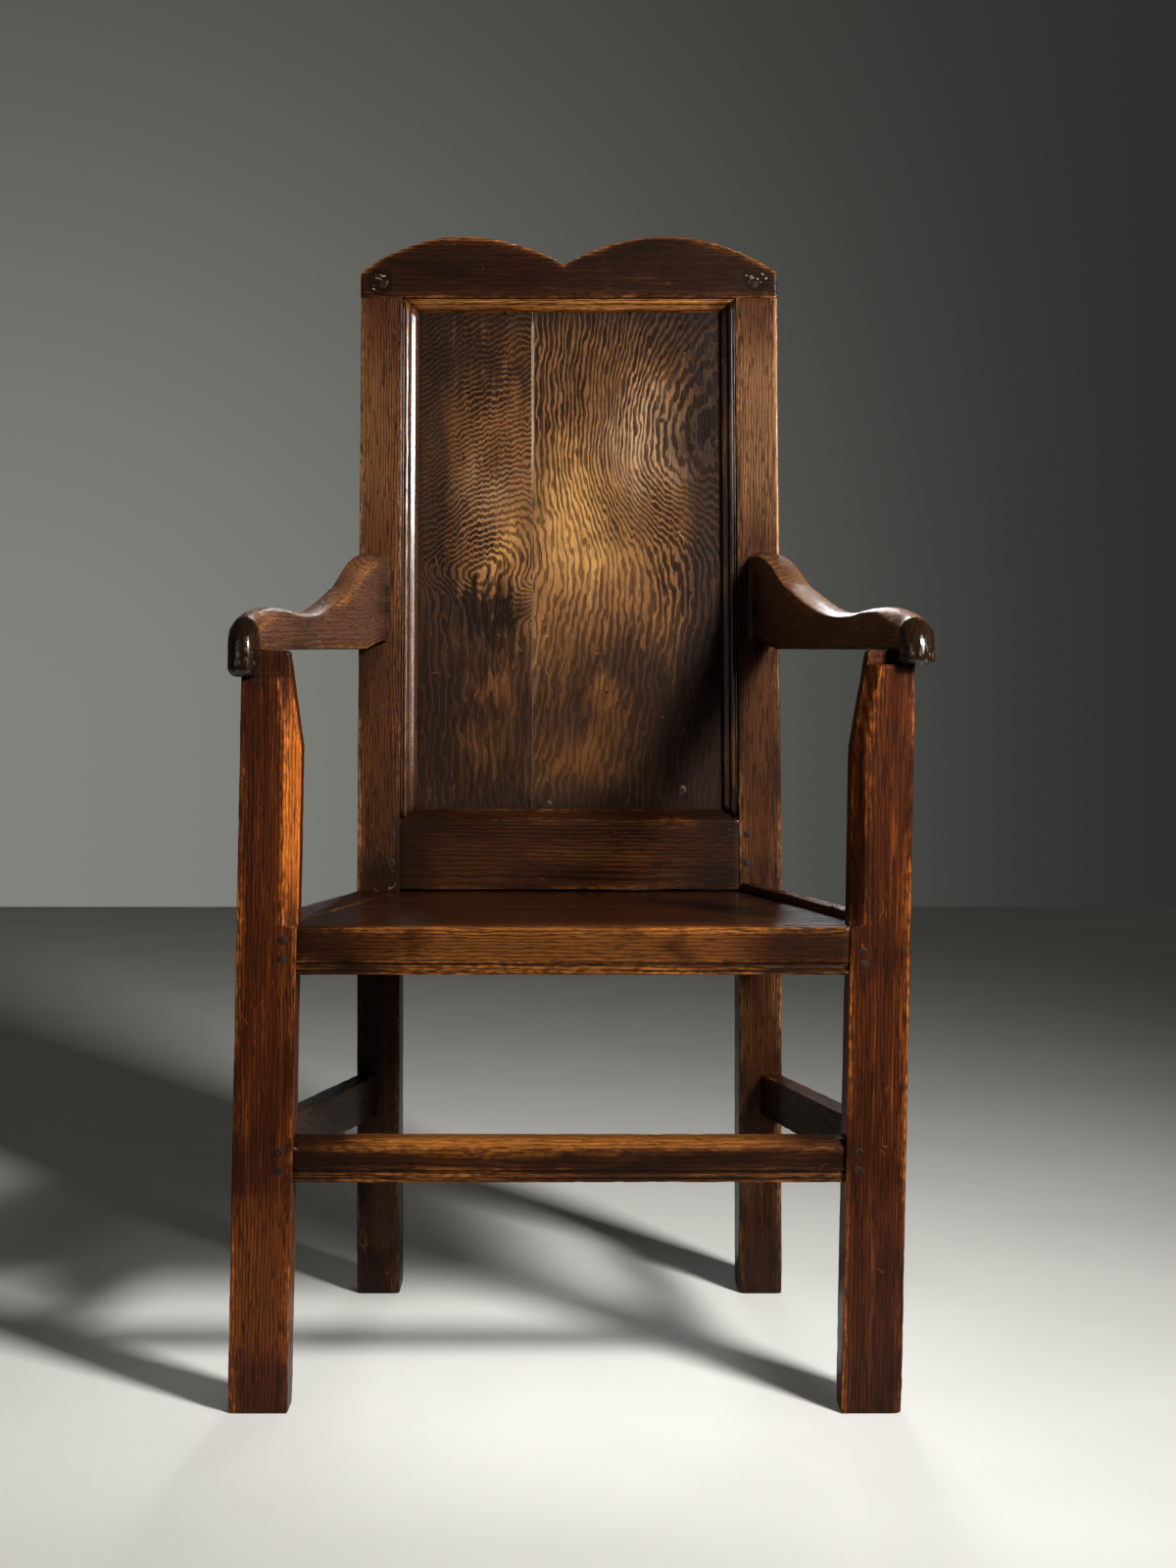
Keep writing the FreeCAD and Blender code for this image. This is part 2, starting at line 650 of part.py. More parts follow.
def make_mouldings():
    """Make the three planted mouldings, mitred at the top corners."""
    y = frame_depth + panel_setback
    top = along_back(crest_lower_height)
    low = along_back(bottom_rail_face_top) - overrun
    span = moulding_width + overrun
    upper = moulding_face(V(-post_inner, y, top), V(0, 0, -1)).extrude(V(2 * post_inner, 0, 0))
    for name, side in SIDES.items():
        corner = V(side * post_inner, y, low)
        strip = moulding_face(corner, V(-side, 0, 0)).extrude(V(0, 0, top - low))
        x = side * post_inner
        front = y - 2 * moulding_depth
        over = [V(x, front, top), V(x - side * span, front, top - span),
                V(x - side * span, front, top + overrun), V(x, front, top + overrun)]
        under = [V(x, front, top), V(x - side * span, front, top - span),
                 V(x + side * overrun, front, top - span), V(x + side * overrun, front, top)]
        strip = strip.cut(prism(over, V(0, 4 * moulding_depth, 0))).cut(bottom_rail_blank())
        upper = upper.cut(prism(under, V(0, 4 * moulding_depth, 0)))
        pieces["back_moulding_" + name] = lean_over(strip)
    pieces["back_moulding_top"] = lean_over(upper)


def arm_edges(side, y):
    """Return an arm's outer and inner face at a depth, from the middle of the back."""
    share = (y + knuckle_overhang) / (frame_depth + knuckle_overhang)
    front = knuckle_centre[side]
    centre = front + (side * arm_back_centre - front) * share
    half = (knuckle_width[side] + (arm_back_width - knuckle_width[side]) * share) / 2
    return centre + side * half, centre - side * half


def arm_stations(side):
    """Return the lowest and highest point (y, z) of an arm's sections, from the post to the lip."""
    stations = []
    bend = frame_depth - arm_rear_run
    for run, rise in reversed(arm_top_shares):
        y = frame_depth * run
        underside = leg_height + arm_underside_rise * (y - knuckle_lap) / (bend - knuckle_lap)
        if y > bend:
            underside += arm_rear_rise * min(1, (y - bend) / arm_rear_run)
        stations.append(((y, underside), (y, leg_height + arm_back_height * rise)))
    lip = leg_height - knuckle_drop[side]
    reach = knuckle_overhang + knuckle_lap
    hub_z = leg_height - knuckle_round / 2
    for step in range(knuckle_steps + 1):
        turn = math.pi / 2 * step / knuckle_steps
        slide = step / knuckle_steps * knuckle_round / 2
        hub = (knuckle_lap, leg_height - slide)
        top = (knuckle_lap - reach * math.sin(turn), hub_z + knuckle_top_reach * math.cos(turn))
        stations.append((hub, top))
    stations.append(((knuckle_lap, lip + knuckle_round / 2), (-knuckle_overhang,
                                                              lip + knuckle_round / 2)))
    stations.append(((knuckle_lap, lip), (-knuckle_overhang + knuckle_round / 2, lip)))
    return stations


def arm_section(side, low, high):
    """Make an arm's cross-section: a flat underside, two flat sides and a crowned top."""
    outer, inner = arm_edges(side, high[0])
    tall = math.hypot(high[0] - low[0], high[1] - low[1])
    shoulder = [high[i] + (low[i] - high[i]) * arm_crown / tall for i in (0, 1)]
    points = [V(x, y, z) for x, (y, z) in ((inner, shoulder), (inner, low), (outer, low),
                                           (outer, shoulder))]
    crown = Part.Arc(points[3], V((outer + inner) / 2, *high), points[0]).toShape()
    return Part.Wire([Part.makeLine(a, b) for a, b in zip(points, points[1:])] + [crown])


def arm_tenon(side, grow, end):
    """Make the tenon at an arm's back end, square to the raked post."""
    middle = side * arm_back_centre
    half = arm_tenon_thickness / 2 + grow
    z0 = along_back(leg_height + arm_underside_rise + arm_rear_rise + arm_tenon_rise)
    return lean_over(box(middle - half, middle + half, frame_depth - arm_tenon_length,
                         frame_depth + arm_tenon_length + end, z0 - grow,
                         z0 + arm_tenon_height + grow))


def make_arms():
    """Make the swept arms, tenoned into the posts and mortised over the legs."""
    for name, side in SIDES.items():
        sections = [arm_section(side, *station) for station in arm_stations(side)]
        arm = Part.makeLoft(sections, True, True).cut(post_blank(side, leg_width))
        middle = leg_top_middle(side)
        half = leg_tenon_width / 2 + joint_clearance
        pieces["arm_" + name] = arm.cut(
            box(middle - half, middle + half, leg_tenon_setback - joint_clearance,
                leg_tenon_setback + leg_tenon_depth + joint_clearance, leg_height - overrun,
                leg_height + leg_tenon_height + tenon_end_clearance))
        join("arm_" + name, ["back_post_" + name],
             lambda grow, end: arm_tenon(side, grow, end))


def back_face_point(x, height, depth=0.0):
    """Return a point on the raked front plane of the back, or a depth behind it."""
    return lean_over(Part.Vertex(V(x, frame_depth + depth, along_back(height)))).Point


def leg_front_peg(side, height):
    """Return the start, direction and length of a peg in a front leg's front face."""
    x = side * (seat_half_width - front_peg_inset) + leg_lean(height)
    return V(x, 0, height), V(0, 1, 0), front_peg_length


def make_pegs():
    """Drive the pegs through every tenon."""
    into_back = lean_over(Part.Vertex(rake_pivot + V(0, 1, 0))).Point - rake_pivot
    legs = ["front_leg_left", "front_leg_right"]
    posts = ["back_post_left", "back_post_right"]

    height = crest_lower_height + crest_peg_rise
    crest = [(back_face_point(side * (back_half_width - crest_peg_inset), height), into_back,
              crest_peg_length) for side in (LEFT, RIGHT)]
    drive_pegs("crest_rail_pegs", crest, ["crest_rail"] + posts)

    low = [(back_face_point(side * (post_inner + bottom_rail_peg_inset), seat_height + rise),
            into_back, crest_peg_length)
           for side in (LEFT, RIGHT)
           for rise in (bottom_rail_lower_peg_rise, bottom_rail_upper_peg_rise)]
    drive_pegs("bottom_rail_pegs", low, ["back_bottom_rail"] + posts)

    front = [leg_front_peg(side, seat_height - seat_rail_height + rise)
             for side in (LEFT, RIGHT) for rise in front_rail_peg_rises[side]]
    drive_pegs("seat_front_rail_pegs", front, ["seat_front_rail"] + legs)

    front = [leg_front_peg(side, front_stretcher_bottom + rise) for side in (LEFT, RIGHT)
             for rise in (stretcher_lower_peg_rise, stretcher_upper_peg_rise)]
    drive_pegs("front_stretcher_pegs", front, ["front_stretcher"] + legs)

    rail_height = seat_height - seat_rail_height / 2
    drive_side_pegs("seat_side_rail", rail_height, rail_height)
    drive_side_pegs("side_stretcher", side_stretcher_front_bottom + side_stretcher_height / 2,
                    side_stretcher_back_bottom + side_stretcher_height / 2)

    back_y = frame_depth + post_depth
    middle = (seat_height - seat_rail_height + seat_height - seat_board_thickness) / 2
    rear = [(V(side * (post_inner + back_rail_tenon_length / 2), back_y, middle), V(0, -1, 0),
             back_peg_length) for side in (LEFT, RIGHT)]
    drive_pegs("seat_back_rail_pegs", rear, ["seat_back_rail"] + posts)

    arms = []
    for side in (LEFT, RIGHT):
        at_post = back_face_point(side * back_half_width, leg_height + arm_peg_rise,
                                  arm_tenon_length / 2)
        at_leg = V(arm_edges(side, arm_front_peg_y)[0], arm_front_peg_y,
                   leg_height + leg_tenon_height / 2)
        arms += [(start, V(-side, 0, 0), side_peg_length) for start in (at_post, at_leg)]
    drive_pegs("arm_pegs", arms, ["arm_left", "arm_right"] + legs + posts)


def drive_side_pegs(rail, front_height, back_height):
    """Peg a side rail's or stretcher's tenons from the legs' and posts' outer faces."""
    places = []
    for side in (LEFT, RIGHT):
        at_leg = V(side * seat_half_width + leg_lean(front_height),
                   leg_depth - side_rail_tenon_length / 2, front_height)
        at_post = V(side * back_half_width, frame_depth + side_rail_tenon_length / 2, back_height)
        places += [(at_leg, V(-side, 0, 0), side_peg_length),
                   (at_post, V(-side, 0, 0), side_peg_length)]
    drive_pegs(rail + "_pegs", places, [rail + "_left", rail + "_right", "front_leg_left",
                                        "front_leg_right", "back_post_left", "back_post_right"])


def make_pins():
    """Drive the pins that hold the seat boards, the strip and the planted mouldings."""
    down = V(0, 0, -1)
    front_y = front_rail_setback + (seat_ledge_start + front_rail_thickness) / 2
    back_y = frame_depth + (back_rail_setback + seat_board_back_reach) / 2
    boards = [(V(step * board_pin_step, y, seat_height), down, pin_length)
              for y in (front_y, back_y) for step in (-1, 0, 1)]
    drive_pegs("seat_board_pins", boards, ["seat_board_front", "seat_board_rear",
                                           "seat_front_rail", "seat_back_rail"], pin_diameter,
               proud=0.0)

    strip = []
    for share in strip_pin_shares:
        y = leg_depth + share * (frame_depth - leg_depth)
        x = seat_half(y) + seat_board_gap + strip_width - strip_pin_edge
        strip.append((V(x, y, seat_height + strip_height), down, pin_length))
    drive_pegs("seat_strip_pins", strip, ["seat_side_moulding", "seat_side_rail_right"],
               pin_diameter)

    tall = crest_lower_height - bottom_rail_top
    depth = panel_setback - sprig_depth
    sprigs = []
    for side in (LEFT, RIGHT):
        x = side * (post_inner - moulding_width + sprig_depth)
        sprigs += [(back_face_point(x, bottom_rail_top + share * tall, depth), V(side, 0, 0),
                    sprig_length) for share in sprig_shares]
    along = back_face_point(0, overall_height) - back_face_point(0, seat_height)
    along.normalize()
    height = crest_lower_height - moulding_width + sprig_depth
    sprigs += [(back_face_point(side * board_pin_step / 2, height, depth), along, sprig_length)
               for side in (LEFT, RIGHT)]
    drive_pegs("moulding_sprigs", sprigs,
               ["back_moulding_left", "back_moulding_right", "back_moulding_top", "crest_rail",
                "back_post_left", "back_post_right"], sprig_diameter)


def write_parts():
    """Move every piece to the chair's own origin and write it."""
    left_foot = leg_lean(0) - seat_half_width
    left_knuckle = knuckle_centre[LEFT] - knuckle_width[LEFT] / 2
    widest = (min(left_foot, left_knuckle), knuckle_centre[RIGHT] + knuckle_width[RIGHT] / 2)
    back_reach = frame_depth + crest_thickness * math.cos(rake_angle) + rake_run
    origin = V(sum(widest) / 2, (back_reach - knuckle_overhang) / 2, 0)
    os.makedirs("parts", exist_ok=True)
    for name, shape in pieces.items():
        shape = shape.copy()
        shape.translate(-origin)
        print(name, "solids", len(shape.Solids), "valid", shape.isValid(),
              "volume", round(shape.Volume))
        shape.exportStep("parts/" + name + ".step")


make_legs_and_posts()
make_front_seat_rail()
make_side_seat_rails()
make_back_seat_rail()
make_seat_boards()
make_seat_strip()
make_stretchers()
make_crest()
make_bottom_rail()
make_panel()
make_mouldings()
make_arms()
make_pegs()
make_pins()
write_parts()
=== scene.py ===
"""A joined oak armchair with a two-board panel in its back: its looks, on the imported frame.

Lengths are in millimetres in the chair's own frame, with x = 0 at the middle of the back, y = 0 at
the front face of the front legs, z = 0 on the floor, and the chair facing -Y. Left is the -X side.
Each mesh is moved to the row frame, in metres, as it is made.
"""

import logging
import math
from dataclasses import dataclass, field
from enum import Enum
from typing import Callable, Sequence

import bpy
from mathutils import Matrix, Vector, noise


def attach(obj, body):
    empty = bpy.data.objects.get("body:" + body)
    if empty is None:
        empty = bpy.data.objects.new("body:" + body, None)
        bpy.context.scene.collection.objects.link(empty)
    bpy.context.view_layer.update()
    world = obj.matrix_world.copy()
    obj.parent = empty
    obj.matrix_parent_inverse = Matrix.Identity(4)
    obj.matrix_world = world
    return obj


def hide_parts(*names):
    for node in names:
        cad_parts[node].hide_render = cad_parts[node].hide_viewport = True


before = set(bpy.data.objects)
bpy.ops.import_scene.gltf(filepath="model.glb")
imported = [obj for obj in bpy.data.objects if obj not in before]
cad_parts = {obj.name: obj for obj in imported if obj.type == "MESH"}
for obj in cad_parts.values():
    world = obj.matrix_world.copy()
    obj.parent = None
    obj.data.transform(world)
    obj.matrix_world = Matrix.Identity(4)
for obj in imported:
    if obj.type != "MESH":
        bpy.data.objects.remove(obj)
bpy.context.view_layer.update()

log = logging.getLogger("armchair")

MM = 0.001
ORIGIN = Vector((6.57, 239.96, 0.0))

Colour = tuple[float, float, float]
Point = tuple[float, float]


def srgb(red: int, green: int, blue: int) -> Colour:
    """Turn a colour as seen on a screen into the linear values that shaders take.

    Args:
        red: Red, 0 to 255.
        green: Green, 0 to 255.
        blue: Blue, 0 to 255.

    Returns:
        The linear colour.
    """
    def linear(level: int) -> float:
        """Return one channel's linear value."""
        share = level / 255
        return share / 12.92 if share <= 0.04045 else ((share + 0.055) / 1.055) ** 2.4

    return linear(red), linear(green), linear(blue)


def smooth(low: float, high: float, value: float) -> float:
    """Return 0 below low, 1 above high, and a smooth step between them."""
    share = min(1.0, max(0.0, (value - low) / (high - low)))
    return share * share * (3 - 2 * share)


def mix(a: float, b: float, share: float) -> float:
    """Return the value that lies a share of the way from a to b."""
    return a + (b - a) * share


def ripple(place: Vector, wavelength: float, seed: float) -> float:
    """Return smooth noise between about -1 and 1 at a place.

    Args:
        place: The place, in millimetres.
        wavelength: The size of the noise's features, in millimetres.
        seed: Picks one of many independent noises.

    Returns:
        The noise there.
    """
    return noise.noise(place / wavelength + Vector((seed * 17.3, seed * 5.1, seed * 9.7)))


class Side(Enum):
    """A side of the chair, seen from its front."""

    LEFT = -1
    RIGHT = 1

    @property
    def word(self) -> str:
        """The side's name in lower case, as the nodes' names have it."""
        return self.name.lower()

    @property
    def sign(self) -> int:
        """The side's direction along X."""
        return self.value


@dataclass(frozen=True)
class Frame:
    """The sizes that the whole chair shares."""

    overall_height: float = 1168.0
    seat_height: float = 440.0
    seat_half_width: float = 305.0
    back_half_width: float = 232.4
    depth: float = 412.0
    rake_run: float = 56.0
    leg_width: float = 55.0
    leg_depth: float = 40.0
    leg_height: float = 690.0
    leg_lean_run: float = 12.8
    arm_lap: float = 11.0
    left_drop: float = 24.0
    right_drop: float = 12.5
    post_width: float = 47.0
    crest_lower: float = 1098.0
    panel_setback: float = 13.0

    @property
    def rake(self) -> float:
        """The angle by which the back leans."""
        return math.atan2(self.rake_run, self.overall_height - self.seat_height)

    @property
    def leg_inner(self) -> float:
        """The front legs' inner faces at the seat, from the middle."""
        return self.seat_half_width - self.leg_width

    @property
    def post_inner(self) -> float:
        """The posts' inner faces, from the middle."""
        return self.back_half_width - self.post_width

    def up_back(self, height: float) -> float:
        """Return where a height on the raked back lies before the back is leaned over."""
        return self.seat_height + (height - self.seat_height) / math.cos(self.rake)

    def lean_over(self, place: Vector) -> Vector:
        """Return where a place on the upright back comes to lie at the back's rake."""
        y, z = place.y - self.depth, place.z - self.seat_height
        cos, sin = math.cos(self.rake), math.sin(self.rake)
        return Vector((place.x, self.depth + y * cos + z * sin,
                       self.seat_height - y * sin + z * cos))

    def leg_lean(self, height: float) -> float:
        """Return how far a front leg has moved sideways at a height."""
        return self.leg_lean_run * (height - self.seat_height) / self.leg_height

    def lip(self, side: Side) -> float:
        """Return how low the rolled end of an arm comes down before its leg."""
        return self.leg_height - (self.left_drop if side is Side.LEFT else self.right_drop)

    def outer_line(self, y: float) -> float:
        """Return the half width, at a depth, over the outer faces of the side rails."""
        share = (y - self.leg_depth) / (self.depth - self.leg_depth)
        return mix(self.seat_half_width, self.back_half_width, share)


CHAIR = Frame()


class Wire:
    """A value on its way between a shader's nodes. Arithmetic with it adds the nodes."""

    def __init__(self, weaver: "Weaver", socket: bpy.types.NodeSocket) -> None:
        """Keep where the value comes out, and what adds the nodes that use it."""
        self.weaver = weaver
        self.socket = socket

    def math(self, operation: str, *others: object) -> "Wire":
        """Return a Math node's result, from this value and the others."""
        made = self.weaver.node("ShaderNodeMath", operation=operation)
        for socket, value in zip(made.inputs, (self, *others)):
            self.weaver.feed(socket, value)
        return Wire(self.weaver, made.outputs[0])

    def __add__(self, other: object) -> "Wire":
        """Return the sum of two values."""
        return self.math("ADD", other)

    def __sub__(self, other: object) -> "Wire":
        """Return the difference of two values."""
        return self.math("SUBTRACT", other)

    def __mul__(self, other: object) -> "Wire":
        """Return the product of two values."""
        return self.math("MULTIPLY", other)

    def most(self, other: object) -> "Wire":
        """Return the larger of two values."""
        return self.math("MAXIMUM", other)

    def least(self, other: object) -> "Wire":
        """Return the smaller of two values."""
        return self.math("MINIMUM", other)

    def split(self) -> tuple["Wire", "Wire", "Wire"]:
        """Return a vector's three coordinates."""
        made = self.weaver.node("ShaderNodeSeparateXYZ", Vector=self)
        return tuple(Wire(self.weaver, socket) for socket in made.outputs)

    def step(self, low: float, high: float) -> "Wire":
        """Return 0 where the value is at low, 1 at high, and a smooth step between them."""
        made = self.weaver.node("ShaderNodeMapRange", interpolation_type="SMOOTHSTEP", Value=self,
                                From_Min=low, From_Max=high)
        return Wire(self.weaver, made.outputs[0])

    def noise(self, scale: Sequence[float], detail: float = 2.0, rough: float = 0.5,
              shift: Sequence[float] = (0, 0, 0)) -> "Wire":
        """Return smooth noise between 0 and 1, read at this vector.

        Args:
            scale: Features per unit along each axis.
            detail: How many finer layers it has.
            rough: How strong the finer layers are.
            shift: Picks another part of the noise.

        Returns:
            The noise.
        """
        scaled = self.weaver.node("ShaderNodeVectorMath", operation="MULTIPLY_ADD")
        for socket, value in zip(scaled.inputs, (self, tuple(scale), tuple(shift))):
            self.weaver.feed(socket, value)
        made = self.weaver.node("ShaderNodeTexNoise", Vector=scaled.outputs[0], Scale=1.0,
                                Detail=detail, Roughness=rough)
        return Wire(self.weaver, made.outputs[0])

    def blend(self, a: object, b: object, how: str = "MIX") -> "Wire":
        """Return colour a with this share of colour b mixed in, in a way such as ADD."""
        return self.weaver.blend(self, a, b, how)

    def tint(self, other: object, how: str) -> "Wire":
        """Return this colour wholly mixed with another, in a way such as MULTIPLY."""
        return self.weaver.blend(1.0, self, other, how)


class Weaver:
    """Lays out the nodes of one shader."""

    def __init__(self, owner: bpy.types.Material | bpy.types.World) -> None:
        """Take the material or the world whose nodes are laid out, and empty it."""
        self.owner = owner
        owner.use_nodes = True
        self.tree = owner.node_tree
        self.tree.nodes.clear()

    def node(self, kind: str, **inputs: object) -> bpy.types.Node:
        """Add a node.

        Args:
            kind: The node's type, such as ShaderNodeMath.
            inputs: Values or wires for its inputs, by name with _ for a space, and settings.

        Returns:
            The node.
        """
        made = self.tree.nodes.new(kind)
        for key, value in inputs.items():
            if key[0].islower():
                setattr(made, key, value)
        for key, value in inputs.items():
            if key[0].isupper():
                self.feed(made.inputs[key.replace("_", " ")], value)
        return made

    def feed(self, socket: bpy.types.NodeSocket, value: object) -> None:
        """Link an input to a wire or a socket, or set its value.

        Args:
            socket: The input.
            value: A wire, a socket, a number, a vector or a colour.
        """
        if isinstance(value, Wire):
            value = value.socket
        if isinstance(value, bpy.types.NodeSocket):
            self.tree.links.new(value, socket)
        elif socket.type == "RGBA" and len(value) == 3:
            socket.default_value = (*value, 1.0)
        else:
            socket.default_value = value

    def read(self, name: str, output: str = "Fac") -> Wire:
        """Return a mesh's attribute."""
        return Wire(self, self.node("ShaderNodeAttribute", attribute_name=name).outputs[output])

    def place(self, output: str = "Object") -> Wire:
        """Return the shaded place, in the coordinates that are named."""
        return Wire(self, self.node("ShaderNodeTexCoord").outputs[output])

    def blend(self, share: object, a: object, b: object, how: str = "MIX") -> Wire:
        """Mix two colours.

        Args:
            share: How much of b there is.
            a: The first colour.
            b: The second colour.
            how: The way they mix, such as MULTIPLY.

        Returns:
            The mixed colour.
        """
        made = self.node("ShaderNodeMix", data_type="RGBA", blend_type=how, clamp_factor=True)
        for index, value in ((0, share), (6, a), (7, b)):
            self.feed(made.inputs[index], value)
        return Wire(self, made.outputs[2])

    def shader(self, colour: object, roughness: object, height: object, relief: float,
               **settings: object) -> None:
        """End the finish with one surface shader.

        Args:
            colour: The colour.
            roughness: The roughness.
            height: The relief's height, 0 to 1.
            relief: How deep the relief is, in metres.
            settings: More of the shader's inputs, by name with _ for a space.
        """
        bump = self.node("ShaderNodeBump", Height=height, Distance=relief, Strength=1.0)
        surface = self.node("ShaderNodeBsdfPrincipled", Base_Color=colour, Roughness=roughness,
                            Normal=bump.outputs[0], **settings)
        self.node("ShaderNodeOutputMaterial", Surface=surface.outputs[0])


def spot(across: Wire, along: Wire, centre: Point, size: Point, softness: float) -> Wire:
    """Return a soft oval on a board: 1 in its middle and 0 outside.

    Args:
        across: The coordinate across the board.
        along: The coordinate along it.
        centre: The oval's middle, in millimetres.
        size: Its half axes, in millimetres.
        softness: The share of its radius over which it fades.

    Returns:
        The oval's mask.
    """
    x = (across - centre[0] * MM) * (1 / (size[0] * MM))
    z = (along - centre[1] * MM) * (1 / (size[1] * MM))
    return (x * x + z * z).math("SQRT").step(1.0, 1.0 - softness)


@dataclass
class Cut:
    """One cross-section of a piece of wood.

    Attributes:
        corners: The section's corners, in order, in the section's own two axes.
        radii: How far each corner is worn round.
        place: Puts a point of the section, given in its own two axes, on the chair.
        along: How far along the wood the section lies.
    """

    corners: list[Point]
    radii: list[float]
    place: Callable[[float, float], Vector]
    along: float


@dataclass
class Bark:
    """The surface of a piece while it is being made.

    Attributes:
        places: The corners of its mesh, on the chair.
        faces: Its faces.
        grain: Each corner's place in the wood: across, through and along it.
        arris: How near each corner of the mesh is to a worn edge, 0 to 1.
    """

    places: list[Vector] = field(default_factory=list)
    faces: list[tuple[int, ...]] = field(default_factory=list)
    grain: list[Vector] = field(default_factory=list)
    arris: list[float] = field(default_factory=list)

    def add(self, place: Vector, grain: Vector, arris: float) -> int:
        """Add a corner and return its number."""
        self.places.append(place)
        self.grain.append(grain)
        self.arris.append(arris)
        return len(self.places) - 1

    def skin(self, count: int) -> None:
        """Lay faces between each ring of this many corners and the next ring."""
        for first in range(0, len(self.places) - count, count):
            for i in range(count):
                j = (i + 1) % count
                self.faces.append((first + i, first + j, first + count + j, first + count + i))

    def cap(self, count: int) -> None:
        """Close the first and the last ring of this many corners with a flat face each."""
        total = len(self.places)
        self.faces.append(tuple(range(count))[::-1])
        self.faces.append(tuple(range(total - count, total)))

    def join(self, other: "Bark") -> None:
        """Add another closed surface to this one."""
        first = len(self.places)
        self.places += other.places
        self.faces += [tuple(first + corner for corner in face) for face in other.faces]
        self.grain += other.grain
        self.arris += other.arris


ARC_STEPS = 4
EDGE_MARKS = (1.6, 4.5, 10.0)
END_SHRINK = 0.12


def round_outline(cut: Cut) -> list[tuple[Point, float]]:
    """Round a section's corners and divide its edges, the same way whatever its sizes.

    Args:
        cut: The section.

    Returns:
        The outline's points, each with how near it is to a worn edge.
    """
    count = len(cut.corners)
    arcs: list[list[Point]] = []
    for index, (x, y) in enumerate(cut.corners):
        before = cut.corners[index - 1]
        after = cut.corners[(index + 1) % count]
        back = Vector((before[0] - x, before[1] - y))
        on = Vector((after[0] - x, after[1] - y))
        room = min(back.length, on.length) * 0.45
        reach = min(cut.radii[index], room)
        start = Vector((x, y)) + back.normalized() * reach
        end = Vector((x, y)) + on.normalized() * reach
        arc = []
        for step in range(ARC_STEPS + 1):
            share = step / ARC_STEPS
            bend = start * (1 - share) ** 2 + Vector((x, y)) * 2 * share * (1 - share) \
                + end * share ** 2
            arc.append((bend.x, bend.y))
        arcs.append(arc)
    outline: list[tuple[Point, float]] = []
    for index, arc in enumerate(arcs):
        outline += [(point, 1.0) for point in arc]
        start = Vector(arc[-1])
        end = Vector(arcs[(index + 1) % count][0])
        length = (end - start).length
        for mark in EDGE_MARKS:
            share = min(mark / max(length, 1e-6), 0.48 * mark / EDGE_MARKS[-1])
            outline.append((tuple(start.lerp(end, share)), math.exp(-share * length / 2.2)))
        outline.append((tuple(start.lerp(end, 0.5)), math.exp(-length / 4.4)))
        for mark in reversed(EDGE_MARKS):
            share = 1 - min(mark / max(length, 1e-6), 0.48 * mark / EDGE_MARKS[-1])
            outline.append((tuple(start.lerp(end, share)), math.exp(-(1 - share) * length / 2.2)))
    return outline


def close_end(bark: Bark, ring: Sequence[int], flip: bool) -> None:
    """Close one end of a lofted surface with a face over a shrunken ring.

    Args:
        bark: The surface.
        ring: The end ring's corners.
        flip: Whether the end faces back along the wood.
    """
    count = len(ring)
    middle = sum((bark.places[i] for i in ring), Vector()) / count
    grain = sum((bark.grain[i] for i in ring), Vector()) / count
    inner = [bark.add(bark.places[i].lerp(middle, END_SHRINK),
                      bark.grain[i].lerp(grain, END_SHRINK), 0.25) for i in ring]
    hub = bark.add(middle, grain, 0.0)
    faces = [(ring[i], ring[i - count + 1], inner[i - count + 1], inner[i]) for i in range(count)]
    faces += [(inner[i], inner[i - count + 1], hub) for i in range(count)]
    bark.faces += faces if flip else [face[::-1] for face in faces]


def face_outward(bark: Bark) -> Bark:
    """Turn a closed surface's faces outward, and return it."""
    volume = 0.0
    for face in bark.faces:
        for k in range(1, len(face) - 1):
            a, b, c = (bark.places[face[i]] for i in (0, k, k + 1))
            volume += a.dot(b.cross(c))
    if volume < 0:
        bark.faces = [face[::-1] for face in bark.faces]
    return bark


def loft(cuts: Sequence[Cut]) -> Bark:
    """Run a closed surface through cross-sections.

    Args:
        cuts: The sections, in order along the wood, all with the same number of corners.

    Returns:
        The closed surface.
    """
    bark = Bark()
    for cut in cuts:
        outline = round_outline(cut)
        for (a, b), arris in outline:
            bark.add(cut.place(a, b), Vector((a, b, cut.along)), arris)
    count, total = len(outline), len(bark.places)
    bark.skin(count)
    close_end(bark, range(count), True)
    close_end(bark, range(total - count, total), False)
    return face_outward(bark)


def sweep(outline: Sequence[Point], length: Sequence[float],
          place: Callable[[float, float, float], Vector],
          worn: Callable[[float, float], float]) -> Bark:
    """Run a moulding's section along it, with flat ends.

    Args:
        outline: The section's points, across the moulding and out of its ground.
        length: Distances along the moulding.
        place: Puts a distance across, out and along on the chair.
        worn: Tells how worn the moulding is at a distance across and out.

    Returns:
        The closed surface.
    """
    bark = Bark()
    for along in length:
        for across, out in outline:
            bark.add(place(across, out, along), Vector((across, out, along)), worn(across, out))
    bark.skin(len(outline))
    bark.cap(len(outline))
    return face_outward(bark)


def worn_ends(stations: Sequence[float], reach: float = 1.2) -> list[tuple[float, float]]:
    """Add stations near both ends of a bar, so that its end edges are worn round.

    Args:
        stations: Distances along the bar, in order.
        reach: How far the wear reaches.

    Returns:
        Each distance, with how far the section is drawn in there.
    """
    first, last = stations[0], stations[-1]
    way = 1 if last > first else -1
    inner = [s for s in stations if abs(s - first) > reach * 1.5 and abs(s - last) > reach * 1.5]
    start = [(first, reach), (first + way * reach * 0.3, reach * 0.3), (first + way * reach, 0.0)]
    end = [(last - way * reach, 0.0), (last - way * reach * 0.3, reach * 0.3), (last, reach)]
    return start + [(s, 0.0) for s in inner] + end


